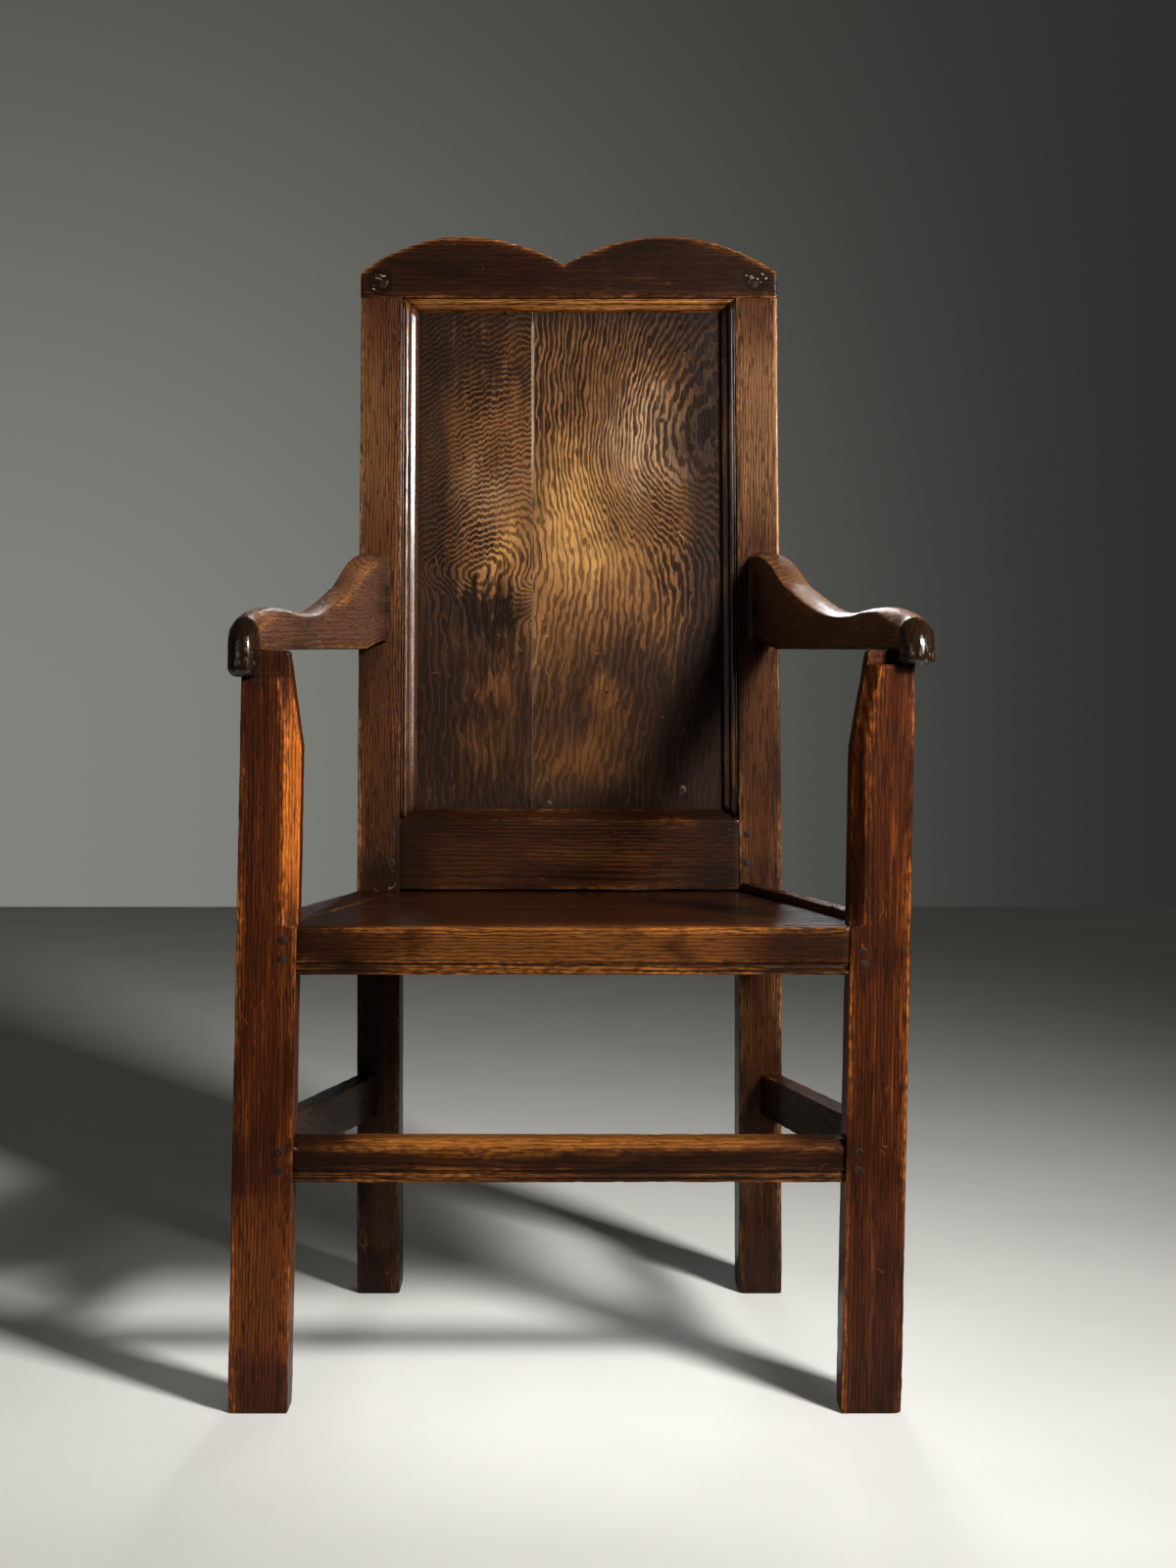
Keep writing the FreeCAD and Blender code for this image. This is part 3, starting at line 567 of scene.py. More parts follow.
def spread(start: float, end: float, spacing: float, *extra: float) -> list[float]:
    """Return places from start to end at about a spacing, with some more put in.

    Args:
        start: The first place.
        end: The last place.
        spacing: The distance between neighbours.
        extra: Places that must be among them.

    Returns:
        The places, in order from start to end.
    """
    count = max(1, round(abs(end - start) / spacing))
    step = abs(end - start) / count
    places = [mix(start, end, i / count) for i in range(count + 1)]
    for place in extra:
        places = [p for p in places if abs(p - place) > step * 0.4 or p in (start, end)]
        places.append(place)
    return sorted(places, reverse=end < start)


@dataclass(frozen=True)
class Wear:
    """How hand work and long use have changed a piece's surface.

    Attributes:
        sway: How far the faces are out of true.
        dents: How deep small dents are.
        nicks: How deep the worn edges are nicked.
        seed: Tells one piece's marks from another's.
    """

    sway: float = 0.45
    dents: float = 0.12
    nicks: float = 0.7
    seed: float = 1.0

    def apply(self, bark: Bark) -> None:
        """Move a surface's corners inward along its normals."""
        normals = corner_normals(bark)
        for index, place in enumerate(bark.places):
            low = 0.5 + 0.5 * ripple(place, 85.0, self.seed)
            small = max(0.0, ripple(place, 9.0, self.seed + 3) - 0.25)
            nick = max(0.0, ripple(place, 6.5, self.seed + 7) - 0.12)
            long_nick = max(0.0, ripple(place, 38.0, self.seed + 11) - 0.1)
            depth = self.sway * low + self.dents * small
            depth += bark.arris[index] ** 2 * self.nicks * (1.6 * nick + 0.9 * long_nick)
            bark.places[index] = place - normals[index] * depth


def corner_normals(bark: Bark) -> list[Vector]:
    """Return the outward normal at each corner of a surface."""
    sums = [Vector() for _ in bark.places]
    for face in bark.faces:
        a, b, c = (bark.places[face[k]] for k in (0, 1, 2))
        normal = (b - a).cross(c - a)
        if len(face) == 4:
            d = bark.places[face[3]]
            normal += (c - a).cross(d - a)
        for corner in face:
            sums[corner] += normal
    return [total.normalized() for total in sums]


GrimeAndPaintedLight = Callable[[Vector], float]


def no_grime(_: Vector) -> float:
    """Return no grime anywhere."""
    return 0.0


@dataclass(frozen=True)
class Board:
    """Where a piece's wood lay in its tree, so that no two pieces have the same figure.

    Attributes:
        across: The place of the piece's middle in the wood, in millimetres across it.
        through: Its place through the wood.
        along: Its place along the grain.
        swap: Whether the wide face is cut through the rings instead of along them.
    """

    across: float = 0.0
    through: float = 0.0
    along: float = 0.0
    swap: bool = False

    def grain(self, local: Vector) -> Vector:
        """Return a corner's place in the wood, in metres.

        Args:
            local: Its place across, through and along the piece, in millimetres.

        Returns:
            Its place in the wood.
        """
        across, through, along = local
        if self.swap:
            across, through = through, across
        return Vector((across + self.across, through + self.through, along + self.along)) * MM


@dataclass(frozen=True)
class Assembly:
    """A sub-assembly of the chair, with the materials that its pieces are dressed in."""

    finishes: dict[str, bpy.types.Material]

    def piece(self, name: str, bark: Bark, board: Board, finish: str, slot: str,
              nodes: Sequence[str], grime: GrimeAndPaintedLight = no_grime) -> None:
        """Turn a surface into a finished piece that rides with the chair.

        Args:
            name: The piece's name.
            bark: Its surface, on the chair.
            board: Where its wood lay.
            finish: Its material's name.
            slot: The record's material slot; not used.
            nodes: The CAD nodes that it stands for.
            grime: How much dirt a place has, with painted shade added on some pieces, and below
                zero its rubbing and painted light.
        """
        for place in bark.places:
            place.z = max(place.z, 0.0)
        mesh = bpy.data.meshes.new(name)
        mesh.from_pydata([(place - ORIGIN) * MM for place in bark.places], [], bark.faces)
        mesh.update()
        mesh.shade_smooth()
        grain = mesh.attributes.new("grain", "FLOAT_VECTOR", "POINT")
        grain.data.foreach_set("vector", [c for g in bark.grain for c in board.grain(g)])
        # This attribute holds dirt and painted shade, and below zero rubbing and painted light.
        dirt = [grime(place) for place in bark.places]
        for word, values in (("wear", bark.arris), ("dirt", dirt)):
            mesh.attributes.new(word, "FLOAT", "POINT").data.foreach_set("value", values)
        mesh.materials.append(self.finishes[finish])
        piece = bpy.data.objects.new(name, mesh)
        bpy.context.scene.collection.objects.link(piece)
        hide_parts(*nodes)
        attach(piece, "root")
        log.info("%s: %d faces", name, len(mesh.polygons))


CHIPPED_WOOD = srgb(168, 150, 128)
NAIL_CHIP = srgb(132, 112, 90)
SEAM_HIGHLIGHT = srgb(206, 176, 136)


@dataclass(frozen=True)
class Finish:
    """A procedural finish, which fills a material of its own name."""

    name: str

    def material(self) -> bpy.types.Material:
        """Make the finish's material."""
        weaver = Weaver(bpy.data.materials.new(self.name))
        self.weave(weaver)
        return weaver.owner

    def weave(self, weaver: Weaver) -> None:
        """Lay out the finish's nodes."""
        raise NotImplementedError


@dataclass(frozen=True)
class WaxedOak(Finish):
    """Old oak, stained by wax and smoke, with open pores and rubbed edges.

    Attributes:
        hollow: The colour in its pores, in packed dirt and in painted shade.
        shade: The colour of its late growth and its dark streaks.
        body: Its usual colour.
        rubbed: The colour where hands and cloth have worn it bright, also used for painted
            highlights.
        line_spacing: The distance between growth lines, in millimetres.
        line_strength: How dark the growth lines are.
        streaks: How strong the broad streaks along the grain are.
        gloss: How well the wax shines, 0 to 1.
        coat: How strong the clear wax over the wood is, 0 to 1.
        specular: How strong the wood's own shine is, 0 to 1.
        polish: How much smoother the dark, handled wood is.
        scuffs: How strong the pale scuffs are.
    """

    hollow: Colour
    shade: Colour
    body: Colour
    rubbed: Colour
    line_spacing: float = 3.4
    line_strength: float = 0.6
    streaks: float = 0.6
    gloss: float = 0.5
    coat: float = 0.13
    specular: float = 0.04
    polish: float = 0.0
    scuffs: float = 0.25

    def growth(self, grain: Wire) -> Wire:
        """Return the growth lines: 1 in the dark late wood and 0 in the early wood.

        Args:
            grain: The place in the wood.

        Returns:
            The lines.
        """
        x, y, z = grain.split()
        radius = (x * x + y * y).math("SQRT")
        wander = (grain.noise((16, 16, 2.2), detail=3.0, rough=0.55) - 0.5) * 0.014
        small = (grain.noise((110, 110, 26)) - 0.5) * 0.0042
        place = radius + wander + small + z * 0.006
        wave = (place * (math.tau / (self.line_spacing * MM))).math("SINE")
        strength = grain.noise((45, 45, 3), shift=(4, 2, 7)).step(0.25, 0.65)
        return wave.step(-0.15, 0.85) * (strength * 0.6 + 0.4)

    def pores(self, grain: Wire, lines: Wire) -> Wire:
        """Return the open pores: short dark dashes along the grain, thickest in the early wood.

        Args:
            grain: The place in the wood.
            lines: The growth lines.

        Returns:
            The pores.
        """
        coarse = grain.noise((560, 560, 48), detail=1.5, rough=0.6).step(0.53, 0.66)
        fine = grain.noise((1500, 1500, 120), detail=1.0, shift=(9, 1, 3)).step(0.52, 0.72)
        return coarse.most(fine * 0.55) * (lines * -0.55 + 0.95)

    def scuff_marks(self, grain: Wire) -> Wire:
        """Return thin pale scuffs, scattered over the surface."""
        away = (grain.noise((42, 42, 17), shift=(31, 7, 12)) - 0.5).math("ABSOLUTE")
        sparse = grain.noise((75, 75, 30), shift=(3, 45, 8)).step(0.6, 0.72)
        return away.step(0.006, 0.001) * sparse

    def weave(self, weaver: Weaver) -> None:
        """Lay out the wood's figure, then its wear, dirt and painted light and shade, then its
        shine and relief.
        """
        grain = weaver.read("grain", "Vector")
        wear, dirt = weaver.read("wear"), weaver.read("dirt")
        lines = self.growth(grain)
        pores = self.pores(grain, lines)
        patches = grain.noise((22, 22, 5), detail=4.0, rough=0.6, shift=(5, 5, 5))
        streaks = grain.noise((230, 230, 9), detail=4.0, rough=0.62, shift=(2, 8, 1))

        colour = (lines * self.line_strength).blend(self.body, self.shade)
        colour = (streaks.step(0.54, 0.85) * (self.streaks * 0.4)).blend(colour, self.rubbed)
        colour = (streaks.step(0.5, 0.24) * self.streaks).blend(colour, self.shade)
        colour = (patches.step(0.52, 0.28) * 0.75).blend(colour, self.shade)

        specks = grain.noise((260, 260, 110), shift=(3, 9, 4)).step(0.4, 0.6)
        worn = wear * patches.step(0.36, 0.62) * (specks * 0.75 + 0.25)
        # Below zero the attribute brightens the wood: rubbing, and on some pieces a painted
        # highlight.
        bright = (dirt * -1.0).most(0.0)
        rub = (worn * 0.8 + bright).least(1.0) * (lines * -0.82 + 1.0)
        colour = rub.blend(colour, self.rubbed)
        colour = (pores * 0.82).blend(colour, self.hollow)
        # Above zero it darkens the wood: dirt, and on some pieces painted shade.
        grimy = dirt.most(0.0) * (patches.step(0.7, 0.3) + 0.45)
        colour = grimy.least(0.92).blend(colour, self.hollow)
        colour = (self.scuff_marks(grain) * self.scuffs).blend(colour, self.rubbed, "ADD")
        chips = grain.noise((330, 330, 150), detail=3.0, shift=(6, 2, 5)).step(0.58, 0.64) \
            * dirt.step(2.0, 2.6)
        colour = (chips * 0.8).blend(colour, CHIPPED_WOOD)

        smears = grain.noise((60, 60, 14), detail=3.0, shift=(11, 3, 2))
        polished = dirt.most(0.0).least(1.0)
        roughness = (smears - 0.5) * 0.28 + mix(0.62, 0.26, self.gloss) + pores * 0.2 \
            + polished * -self.polish
        fibre = grain.noise((900, 900, 30), shift=(6, 6, 0))
        height = pores * -0.7 + fibre * 0.22 + lines * 0.16 + patches * 0.5 + chips * -1.5
        if self.polish:
            height = height * (polished * (-2.1 * self.polish) + 1.0)
        weaver.shader(colour, roughness, height, 0.00035, Specular_IOR_Level=self.specular,
                      Coat_Weight=self.coat, Coat_Roughness=0.12)


@dataclass(frozen=True)
class Tone:
    """A soft oval patch of another tone on the panel; some are the wood's own tone, some are
    painted light and shade.
    """

    centre: Point
    size: Point
    colour: Colour
    strength: float
    softness: float = 1.0


@dataclass(frozen=True)
class Knot:
    """The dark heart of a knot in the panel. A chipped one has pale wood at its upper right."""

    centre: Point
    heart: Point
    chipped: bool = False


@dataclass(frozen=True)
class FiguredOak(Finish):
    """One board of the back panel: bold figure, open pores and a border darkened by dirt and
    painted shade.

    The hollow colour shows in pores, knots, dirt and painted shade, the shade in the dark lines of
    pale wood.
    """

    line_spacing: float
    tones: tuple[Tone, ...]
    knots: tuple[Knot, ...]
    hollow: Colour = srgb(22, 12, 7)
    shade: Colour = srgb(50, 29, 15)
    grimy: Colour = srgb(34, 21, 14)
    body: Colour = srgb(104, 68, 37)
    glow: Colour = srgb(176, 128, 76)

    def flow(self, x: Wire, z: Wire, wander: Wire) -> Wire:
        """Return the field whose level lines are the growth lines, in metres.

        Args:
            x: The place across the back, in metres.
            z: The place up the back, in metres.
            wander: Slow noise about zero.

        Returns:
            The field.
        """
        raise NotImplementedError

    def figure(self, grain: Wire, x: Wire, z: Wire) -> Wire:
        """Return the figure's lines: 1 in the dark ones and 0 in the pale ones.

        Args:
            grain: The place on the board.
            x: Its coordinate across the back, in metres.
            z: Its coordinate up the back, in metres.

        Returns:
            The lines.
        """
        wander = grain.noise((11, 1, 7)) - 0.5
        place = self.flow(x, z, wander)
        for scale, shift, reach in (((11, 1, 7), (3, 0, 6), 0.026), ((28, 1, 16), (9, 0, 4), 0.02),
                                    ((260, 1, 42), (1, 0, 9), 0.0085),
                                    ((90, 1, 40), (5, 0, 2), 0.011)):
            place = place + (grain.noise(scale, shift=shift) - 0.5) * reach
        wave = (place * (math.tau / (self.line_spacing * MM))).math("SINE")
        bold = grain.noise((17, 1, 8), shift=(8, 0, 2)).step(0.25, 0.6)
        high = (z + wander * 0.1).step(0.66, 0.79)
        strength = (bold * 0.35 + 0.65) * (high * 0.3 + 0.7)
        return (wave + (bold - 0.6) * 0.8).step(-0.42, 0.22) * strength

    def ground(self, x: Wire, z: Wire, patches: Wire, flames: Wire) -> Wire:
        """Return the colour of the wood between its lines, with its tones, some of them painted
        light and shade, and its darker border.

        Args:
            x: The place across the back, in metres.
            z: The place up the back, in metres.
            patches: Blotchy noise.
            flames: Streaky noise about zero, which makes the tones' edges ragged.

        Returns:
            The colour.
        """
        blotch = patches - 0.5
        across = x + blotch * 0.055
        along = z + blotch * -0.075 + flames * 0.11
        colour = self.body
        for tone in self.tones:
            mask = spot(across, along, tone.centre, tone.size, tone.softness)
            colour = (mask * tone.strength).blend(colour, tone.colour)
        # The border darkens towards the frame: dirt, and painted shade beside the mouldings.
        side = (x.math("ABSOLUTE") + blotch * 0.07).step(0.104, 0.146)
        foot = (z + blotch * 0.04).step(0.572, 0.532)
        head = (z + blotch * 0.08).step(1.03, 1.09)
        border = side.most(foot.most(head * 0.6)) * 0.88
        colour = border.blend(colour, self.grimy)
        colour = (patches.step(0.5, 0.75) * 0.4).blend(colour, colour.tint(colour, "SCREEN"))
        return (patches.step(0.5, 0.24) * 0.5).blend(colour, colour.tint(self.grimy, "MULTIPLY"))

    def weave(self, weaver: Weaver) -> None:
        """Lay out the board's figure, then its knots, dirt, painted shade and painted seam
        highlight, then its shine and relief.
        """
        grain = weaver.read("grain", "Vector")
        dirt = weaver.read("dirt")
        x, _, z = grain.split()
        lines = self.figure(grain, x, z)
        patches = grain.noise((26, 1, 13), detail=5.0, rough=0.62, shift=(5, 5, 5))
        flames = grain.noise((170, 1, 12), detail=3.0, shift=(4, 0, 1)) - 0.5
        ground = self.ground(x, z, patches, flames)
        dashes = grain.noise((330, 1, 55), detail=1.5, shift=(12, 0, 2)).step(0.38, 0.56)
        pores = grain.noise((1000, 1, 95), detail=1.0, shift=(7, 1, 4)).step(0.5, 0.7) * 0.5

        late = weaver.blend(0.95, ground, ground.tint(self.shade, "MULTIPLY"))
        late = weaver.blend(0.15, late, self.shade)
        share = lines * (dashes * 0.2 + 0.8)
        colour = share.blend(ground, late)
        colour = (pores * 0.8).blend(colour, self.hollow)
        height = share * -0.5 + pores * -0.5
        rough_x = x + (patches - 0.5) * 0.014
        for knot in self.knots:
            if knot.chipped:
                (across, up), (wide, tall) = knot.centre, knot.heart
                chip = spot(rough_x, z, (across + wide * 0.4, up + tall * 0.5), knot.heart, 0.3)
                colour = (chip * 0.35).blend(colour, NAIL_CHIP)
            heart = spot(rough_x, z, knot.centre, knot.heart, 0.8)
            colour = (heart * 0.9).blend(colour, self.hollow)
            height = height + heart * -1.6
        # Dirt and painted shade at the edges, then the seam's painted highlight.
        colour = dirt.most(0.0).blend(colour, self.hollow)
        colour = (dirt * -1.0).most(0.0).blend(colour, SEAM_HIGHLIGHT)
        away = (grain.noise((34, 1, 15), shift=(31, 7, 12)) - 0.5).math("ABSOLUTE")
        sparse = grain.noise((60, 1, 40), shift=(3, 45, 8)).step(0.62, 0.72)
        colour = (away.step(0.005, 0.001) * sparse * 0.3).blend(colour, self.glow, "ADD")

        smears = grain.noise((40, 1, 16), detail=3.0, shift=(11, 3, 2))
        roughness = (smears - 0.5) * 0.3 + share * 0.14 + 0.36
        weaver.shader(colour, roughness, height + patches * 0.9, 0.0004, Specular_IOR_Level=0.04,
                      Coat_Weight=0.09, Coat_Roughness=0.16)


@dataclass(frozen=True)
class KnotBoard(FiguredOak):
    """The left board, whose straight growth lines turn into arches over a big knot."""

    middle: Point = (-106.0, 787.0)
    drift: float = 0.36
    join: Point = (722.0, 780.0)

    def flow(self, x: Wire, z: Wire, wander: Wire) -> Wire:
        """Return the field of arches, which drift sideways as they rise over the knot.

        Args:
            x: The place across the back, in metres.
            z: The place up the back, in metres.
            wander: Slow noise about zero.

        Returns:
            The field.
        """
        dz = z - self.middle[1] * MM
        dx = x - self.middle[0] * MM + dz.most(0.0) * -self.drift
        skew = dx + dz * -0.25
        ring = (skew * skew + dz * dz).math("SQRT")
        straight = dx * -0.8 + 0.04
        share = (z + wander * 0.06 + x * 0.2).step(self.join[0] * MM, self.join[1] * MM)
        return straight + (ring - straight) * share


@dataclass(frozen=True)
class WhorlBoard(FiguredOak):
    """The right board, whose growth lines lean sideways below and swing round a whorl above."""

    middle: Point = (110.0, 928.0)
    width: float = 95.0
    reach: Point = (200.0, 82.0)
    swing: float = 118.0
    lean: float = 0.17
    lean_top: float = 800.0

    def flow(self, x: Wire, z: Wire, wander: Wire) -> Wire:
        """Return the field of upright lines, pushed aside by the whorl.

        Args:
            x: The place across the back, in metres.
            z: The place up the back, in metres.
            wander: Slow noise about zero; not used here.

        Returns:
            The field.
        """
        dx = (x - self.middle[0] * MM) * (1 / (self.width * MM))
        dz = z - self.middle[1] * MM
        dz = (dz * (1 / (self.reach[0] * MM))).most(dz * (-1 / (self.reach[1] * MM)))
        bulge = ((dx * dx + dz * dz) * -1.0).math("EXPONENT")
        below = (z - self.lean_top * MM).least(0.0)
        return x * -1.0 + bulge * (-self.swing * MM) + below * self.lean


@dataclass(frozen=True)
class EndGrain(Finish):
    """The end grain of the pegs and pins: dark rings and open pores, with old wax over them."""

    hollow: Colour
    body: Colour
    rubbed: Colour

    def weave(self, weaver: Weaver) -> None:
        """Lay out the rings, the rubbed patches and the pores."""
        place = weaver.place()
        pores = place.noise((1500,) * 3, detail=1.0).step(0.54, 0.66)
        rings = (place.noise((240,) * 3, detail=1.0, shift=(3, 1, 8)) * 60.0).math("SINE")
        patches = place.noise((190,) * 3, detail=3.0, shift=(7, 7, 7))
        colour = (rings.step(-0.4, 0.9) * 0.5).blend(self.body, self.hollow)
        colour = patches.step(0.56, 0.78).blend(colour, self.rubbed)
        colour = (pores * 0.8).blend(colour, self.hollow)
        weaver.shader(colour, patches * 0.3 + 0.3, pores * -0.6 + patches, 0.0003,
                      Specular_IOR_Level=0.08)


@dataclass(frozen=True)
class Plain(Finish):
    """A matt surface with a few patches to a metre, for the dirt and painted shadow round the pegs
    and for the studio's floor.
    """

    colour: Colour
    patch: Colour
    roughness: float
    scale: float

    def weave(self, weaver: Weaver) -> None:
        """Lay out the patches."""
        patches = weaver.place().noise((self.scale,) * 3, detail=4.0)
        colour = patches.step(0.35, 0.7).blend(self.colour, self.patch)
        weaver.shader(colour, (patches - 0.5) * 0.15 + self.roughness, patches, 0.0003,
                      Specular_IOR_Level=0.3)


@dataclass(frozen=True)
class FrontLegs(Assembly):
    """The two square front legs, which rise past the seat to carry the arms."""

    taper_start: float = 603.0
    top_width: float = 41.5
    chamfer: float = 12.0
    arris: float = 2.0
    foot_round: float = 5.0
    spacing: float = 6.0

    def section(self, side: Side, z: float, drawn: float, front: float) -> Cut:
        """Make a leg's cross-section at a height.

        Args:
            side: Which leg.
            z: The height.
            drawn: How far the section is drawn in.
            front: Where its front face is.

        Returns:
            The section.
        """
        half = CHAIR.leg_width / 2
        taper = (CHAIR.leg_width - self.top_width) * max(0.0, z - self.taper_start) \
            / (CHAIR.leg_height - self.taper_start)
        inner = half - taper - drawn
        chamfer = mix(0.8, self.chamfer, smooth(CHAIR.seat_height - 1, CHAIR.seat_height + 2, z))
        chamfer = max(0.6, chamfer - front)
        near, far = front + drawn, CHAIR.leg_depth - drawn
        corners = [(-half + drawn, near), (inner - chamfer, near), (inner, near + chamfer),
                   (inner, far), (-half + drawn, far)]
        arris = self.arris + self.foot_round * smooth(26, 0, z)
        soft = mix(self.arris, 1.2, smooth(430, 445, z))
        radii = [arris, soft, soft, arris, arris]
        middle = side.sign * (CHAIR.seat_half_width - half) + CHAIR.leg_lean(z)

        def place(a: float, b: float) -> Vector:
            """Put a point of the section on the chair."""
            return Vector((middle - side.sign * a, b, z))

        return Cut(corners, radii, place, z)

    def surface(self, side: Side) -> Bark:
        """Make a leg's surface.

        Args:
            side: Which leg.

        Returns:
            The surface.
        """
        lip = CHAIR.lip(side)
        levels = spread(0, CHAIR.leg_height, self.spacing, CHAIR.seat_height - 1.5,
                        CHAIR.seat_height + 2, self.taper_start)
        stations = [(z, d) for z, d in worn_ends(levels) if z < lip - 1.5 or z > lip + 1.5]
        stations += [(lip - 0.3, 0.0), (lip, 0.0)]
        stations.sort()
        cuts = [self.section(side, z, drawn, CHAIR.arm_lap + 0.2 if z >= lip else 0.0)
                for z, drawn in stations]
        return loft(cuts)

    def grime(self, place: Vector) -> float:
        """Return how much dirt and painted shade a place on a leg has; below zero, its rubbing and
        painted light.
        """
        foot = 0.75 * smooth(70, 0, place.z)
        joint = 0.5 * smooth(36, 6, abs(place.z - 418)) + 0.4 * smooth(36, 6, abs(place.z - 227))
        top = 0.5 * smooth(640, 690, place.z)
        chamfer = 0.0
        inner = CHAIR.leg_inner + 6 - abs(place.x - CHAIR.leg_lean(place.z))
        if place.z > CHAIR.seat_height + 8 and inner > -18 and place.y < 14:
            chamfer = -0.6 * smooth(CHAIR.seat_height, CHAIR.seat_height + 60, place.z) \
                * smooth(-13, -5, inner) * smooth(670, 610, place.z)
            # Painted light on the left leg's chamfer, painted shade on the right one's.
            chamfer *= 1.0 if place.x < 0 else -0.3
        # Painted shade: the right leg is made darker than the left.
        shade = 0.2 if place.x > 0 else 0.06
        dry = -0.18 * smooth(330, 120, place.z)
        return foot * 0.5 + joint * 0.6 + top + chamfer + shade + dry

    def make(self) -> None:
        """Make both legs."""
        boards = {Side.LEFT: Board(70, 20, 120), Side.RIGHT: Board(-66, 24, 900)}
        for side in Side:
            bark = self.surface(side)
            Wear(sway=0.5, nicks=0.8, seed=3.1 + side.sign).apply(bark)
            self.piece(f"leg_{side.word}", bark, boards[side], "frame_oak", "frame_oak",
                       [f"front_leg_{side.word}"], self.grime)


@dataclass(frozen=True)
class BackPosts(Assembly):
    """The two back posts, upright below the seat and raked above it."""

    depth: float = 62.0
    top_depth: float = 32.0
    arris: float = 1.8
    foot_round: float = 4.0
    spacing: float = 7.0

    def section(self, side: Side, height: float, drawn: float) -> Cut:
        """Make a post's cross-section.

        Args:
            side: Which post.
            height: Its height, measured upright.
            drawn: How far the section is drawn in.

        Returns:
            The section.
        """
        half = CHAIR.post_width / 2
        top = CHAIR.up_back(CHAIR.crest_lower)
        share = max(0.0, height - CHAIR.seat_height) / (top - CHAIR.seat_height)
        start_back = Vector((0, CHAIR.depth + self.depth, CHAIR.seat_height))
        end_back = CHAIR.lean_over(Vector((0, CHAIR.depth + self.top_depth, top)))
        front = CHAIR.lean_over(Vector((0, CHAIR.depth, max(height, CHAIR.seat_height))))
        back = start_back.lerp(end_back, share)
        if height < CHAIR.seat_height:
            front.z = back.z = height
        middle = side.sign * (CHAIR.back_half_width - half)
        thick = (back - front).length
        corners = [(-half + drawn, drawn), (half - drawn, drawn), (half - drawn, thick - drawn),
                   (-half + drawn, thick - drawn)]
        radii = [self.arris + self.foot_round * smooth(26, 0, height)] * 4

        def place(a: float, b: float) -> Vector:
            """Put a point of the section on the chair."""
            spot = front.lerp(back, b / thick)
            spot.x = middle + a
            return spot

        return Cut(corners, radii, place, height)

    def grime(self, place: Vector) -> float:
        """Return how much dirt and painted shade a place on a post has; below zero, its painted
        light.
        """
        foot = 0.85 * smooth(150, 0, place.z)
        # Painted shade below the seat.
        low = 0.7 * smooth(CHAIR.seat_height - 4, CHAIR.seat_height - 60, place.z)
        arm = 0.4 * smooth(90, 20, abs(place.z - 745)) * smooth(190, 215, abs(place.x))
        inner = 0.5 * smooth(CHAIR.post_inner + 9, CHAIR.post_inner, abs(place.x))
        inner += 0.3 * smooth(760, 690, place.z) + 0.55 * smooth(500, 455, place.z)
        inner *= smooth(CHAIR.seat_height - 60, CHAIR.seat_height - 4, place.z)
        # Painted light over the posts' middle height, weaker on the left post.
        lit = -0.3 * smooth(820, 900, place.z) * smooth(1080, 1000, place.z)
        if place.x < 0:
            lit *= 0.4
        else:
            lean = CHAIR.lean_over(Vector((0, CHAIR.depth, CHAIR.up_back(place.z)))).y
            # A painted highlight along the right post's outer arris.
            edge = smooth(3.4, 1.4, CHAIR.back_half_width - place.x) * smooth(6, 3, place.y - lean)
            lit -= 2.0 * edge * smooth(800, 830, place.z)
        return foot + low + arm + inner + lit

    def make(self) -> None:
        """Make both posts."""
        boards = {Side.LEFT: Board(64, 22, 500), Side.RIGHT: Board(-62, 24, 1700)}
        top = CHAIR.up_back(CHAIR.crest_lower)
        levels = worn_ends(spread(0, top, self.spacing, CHAIR.seat_height), reach=0.8)
        for side in Side:
            bark = loft([self.section(side, z, drawn) for z, drawn in levels])
            Wear(sway=0.5, nicks=0.8, seed=5.7 + side.sign).apply(bark)
            self.piece(f"post_{side.word}", bark, boards[side], "post_oak", "frame_oak",
                       [f"back_post_{side.word}"], self.grime)


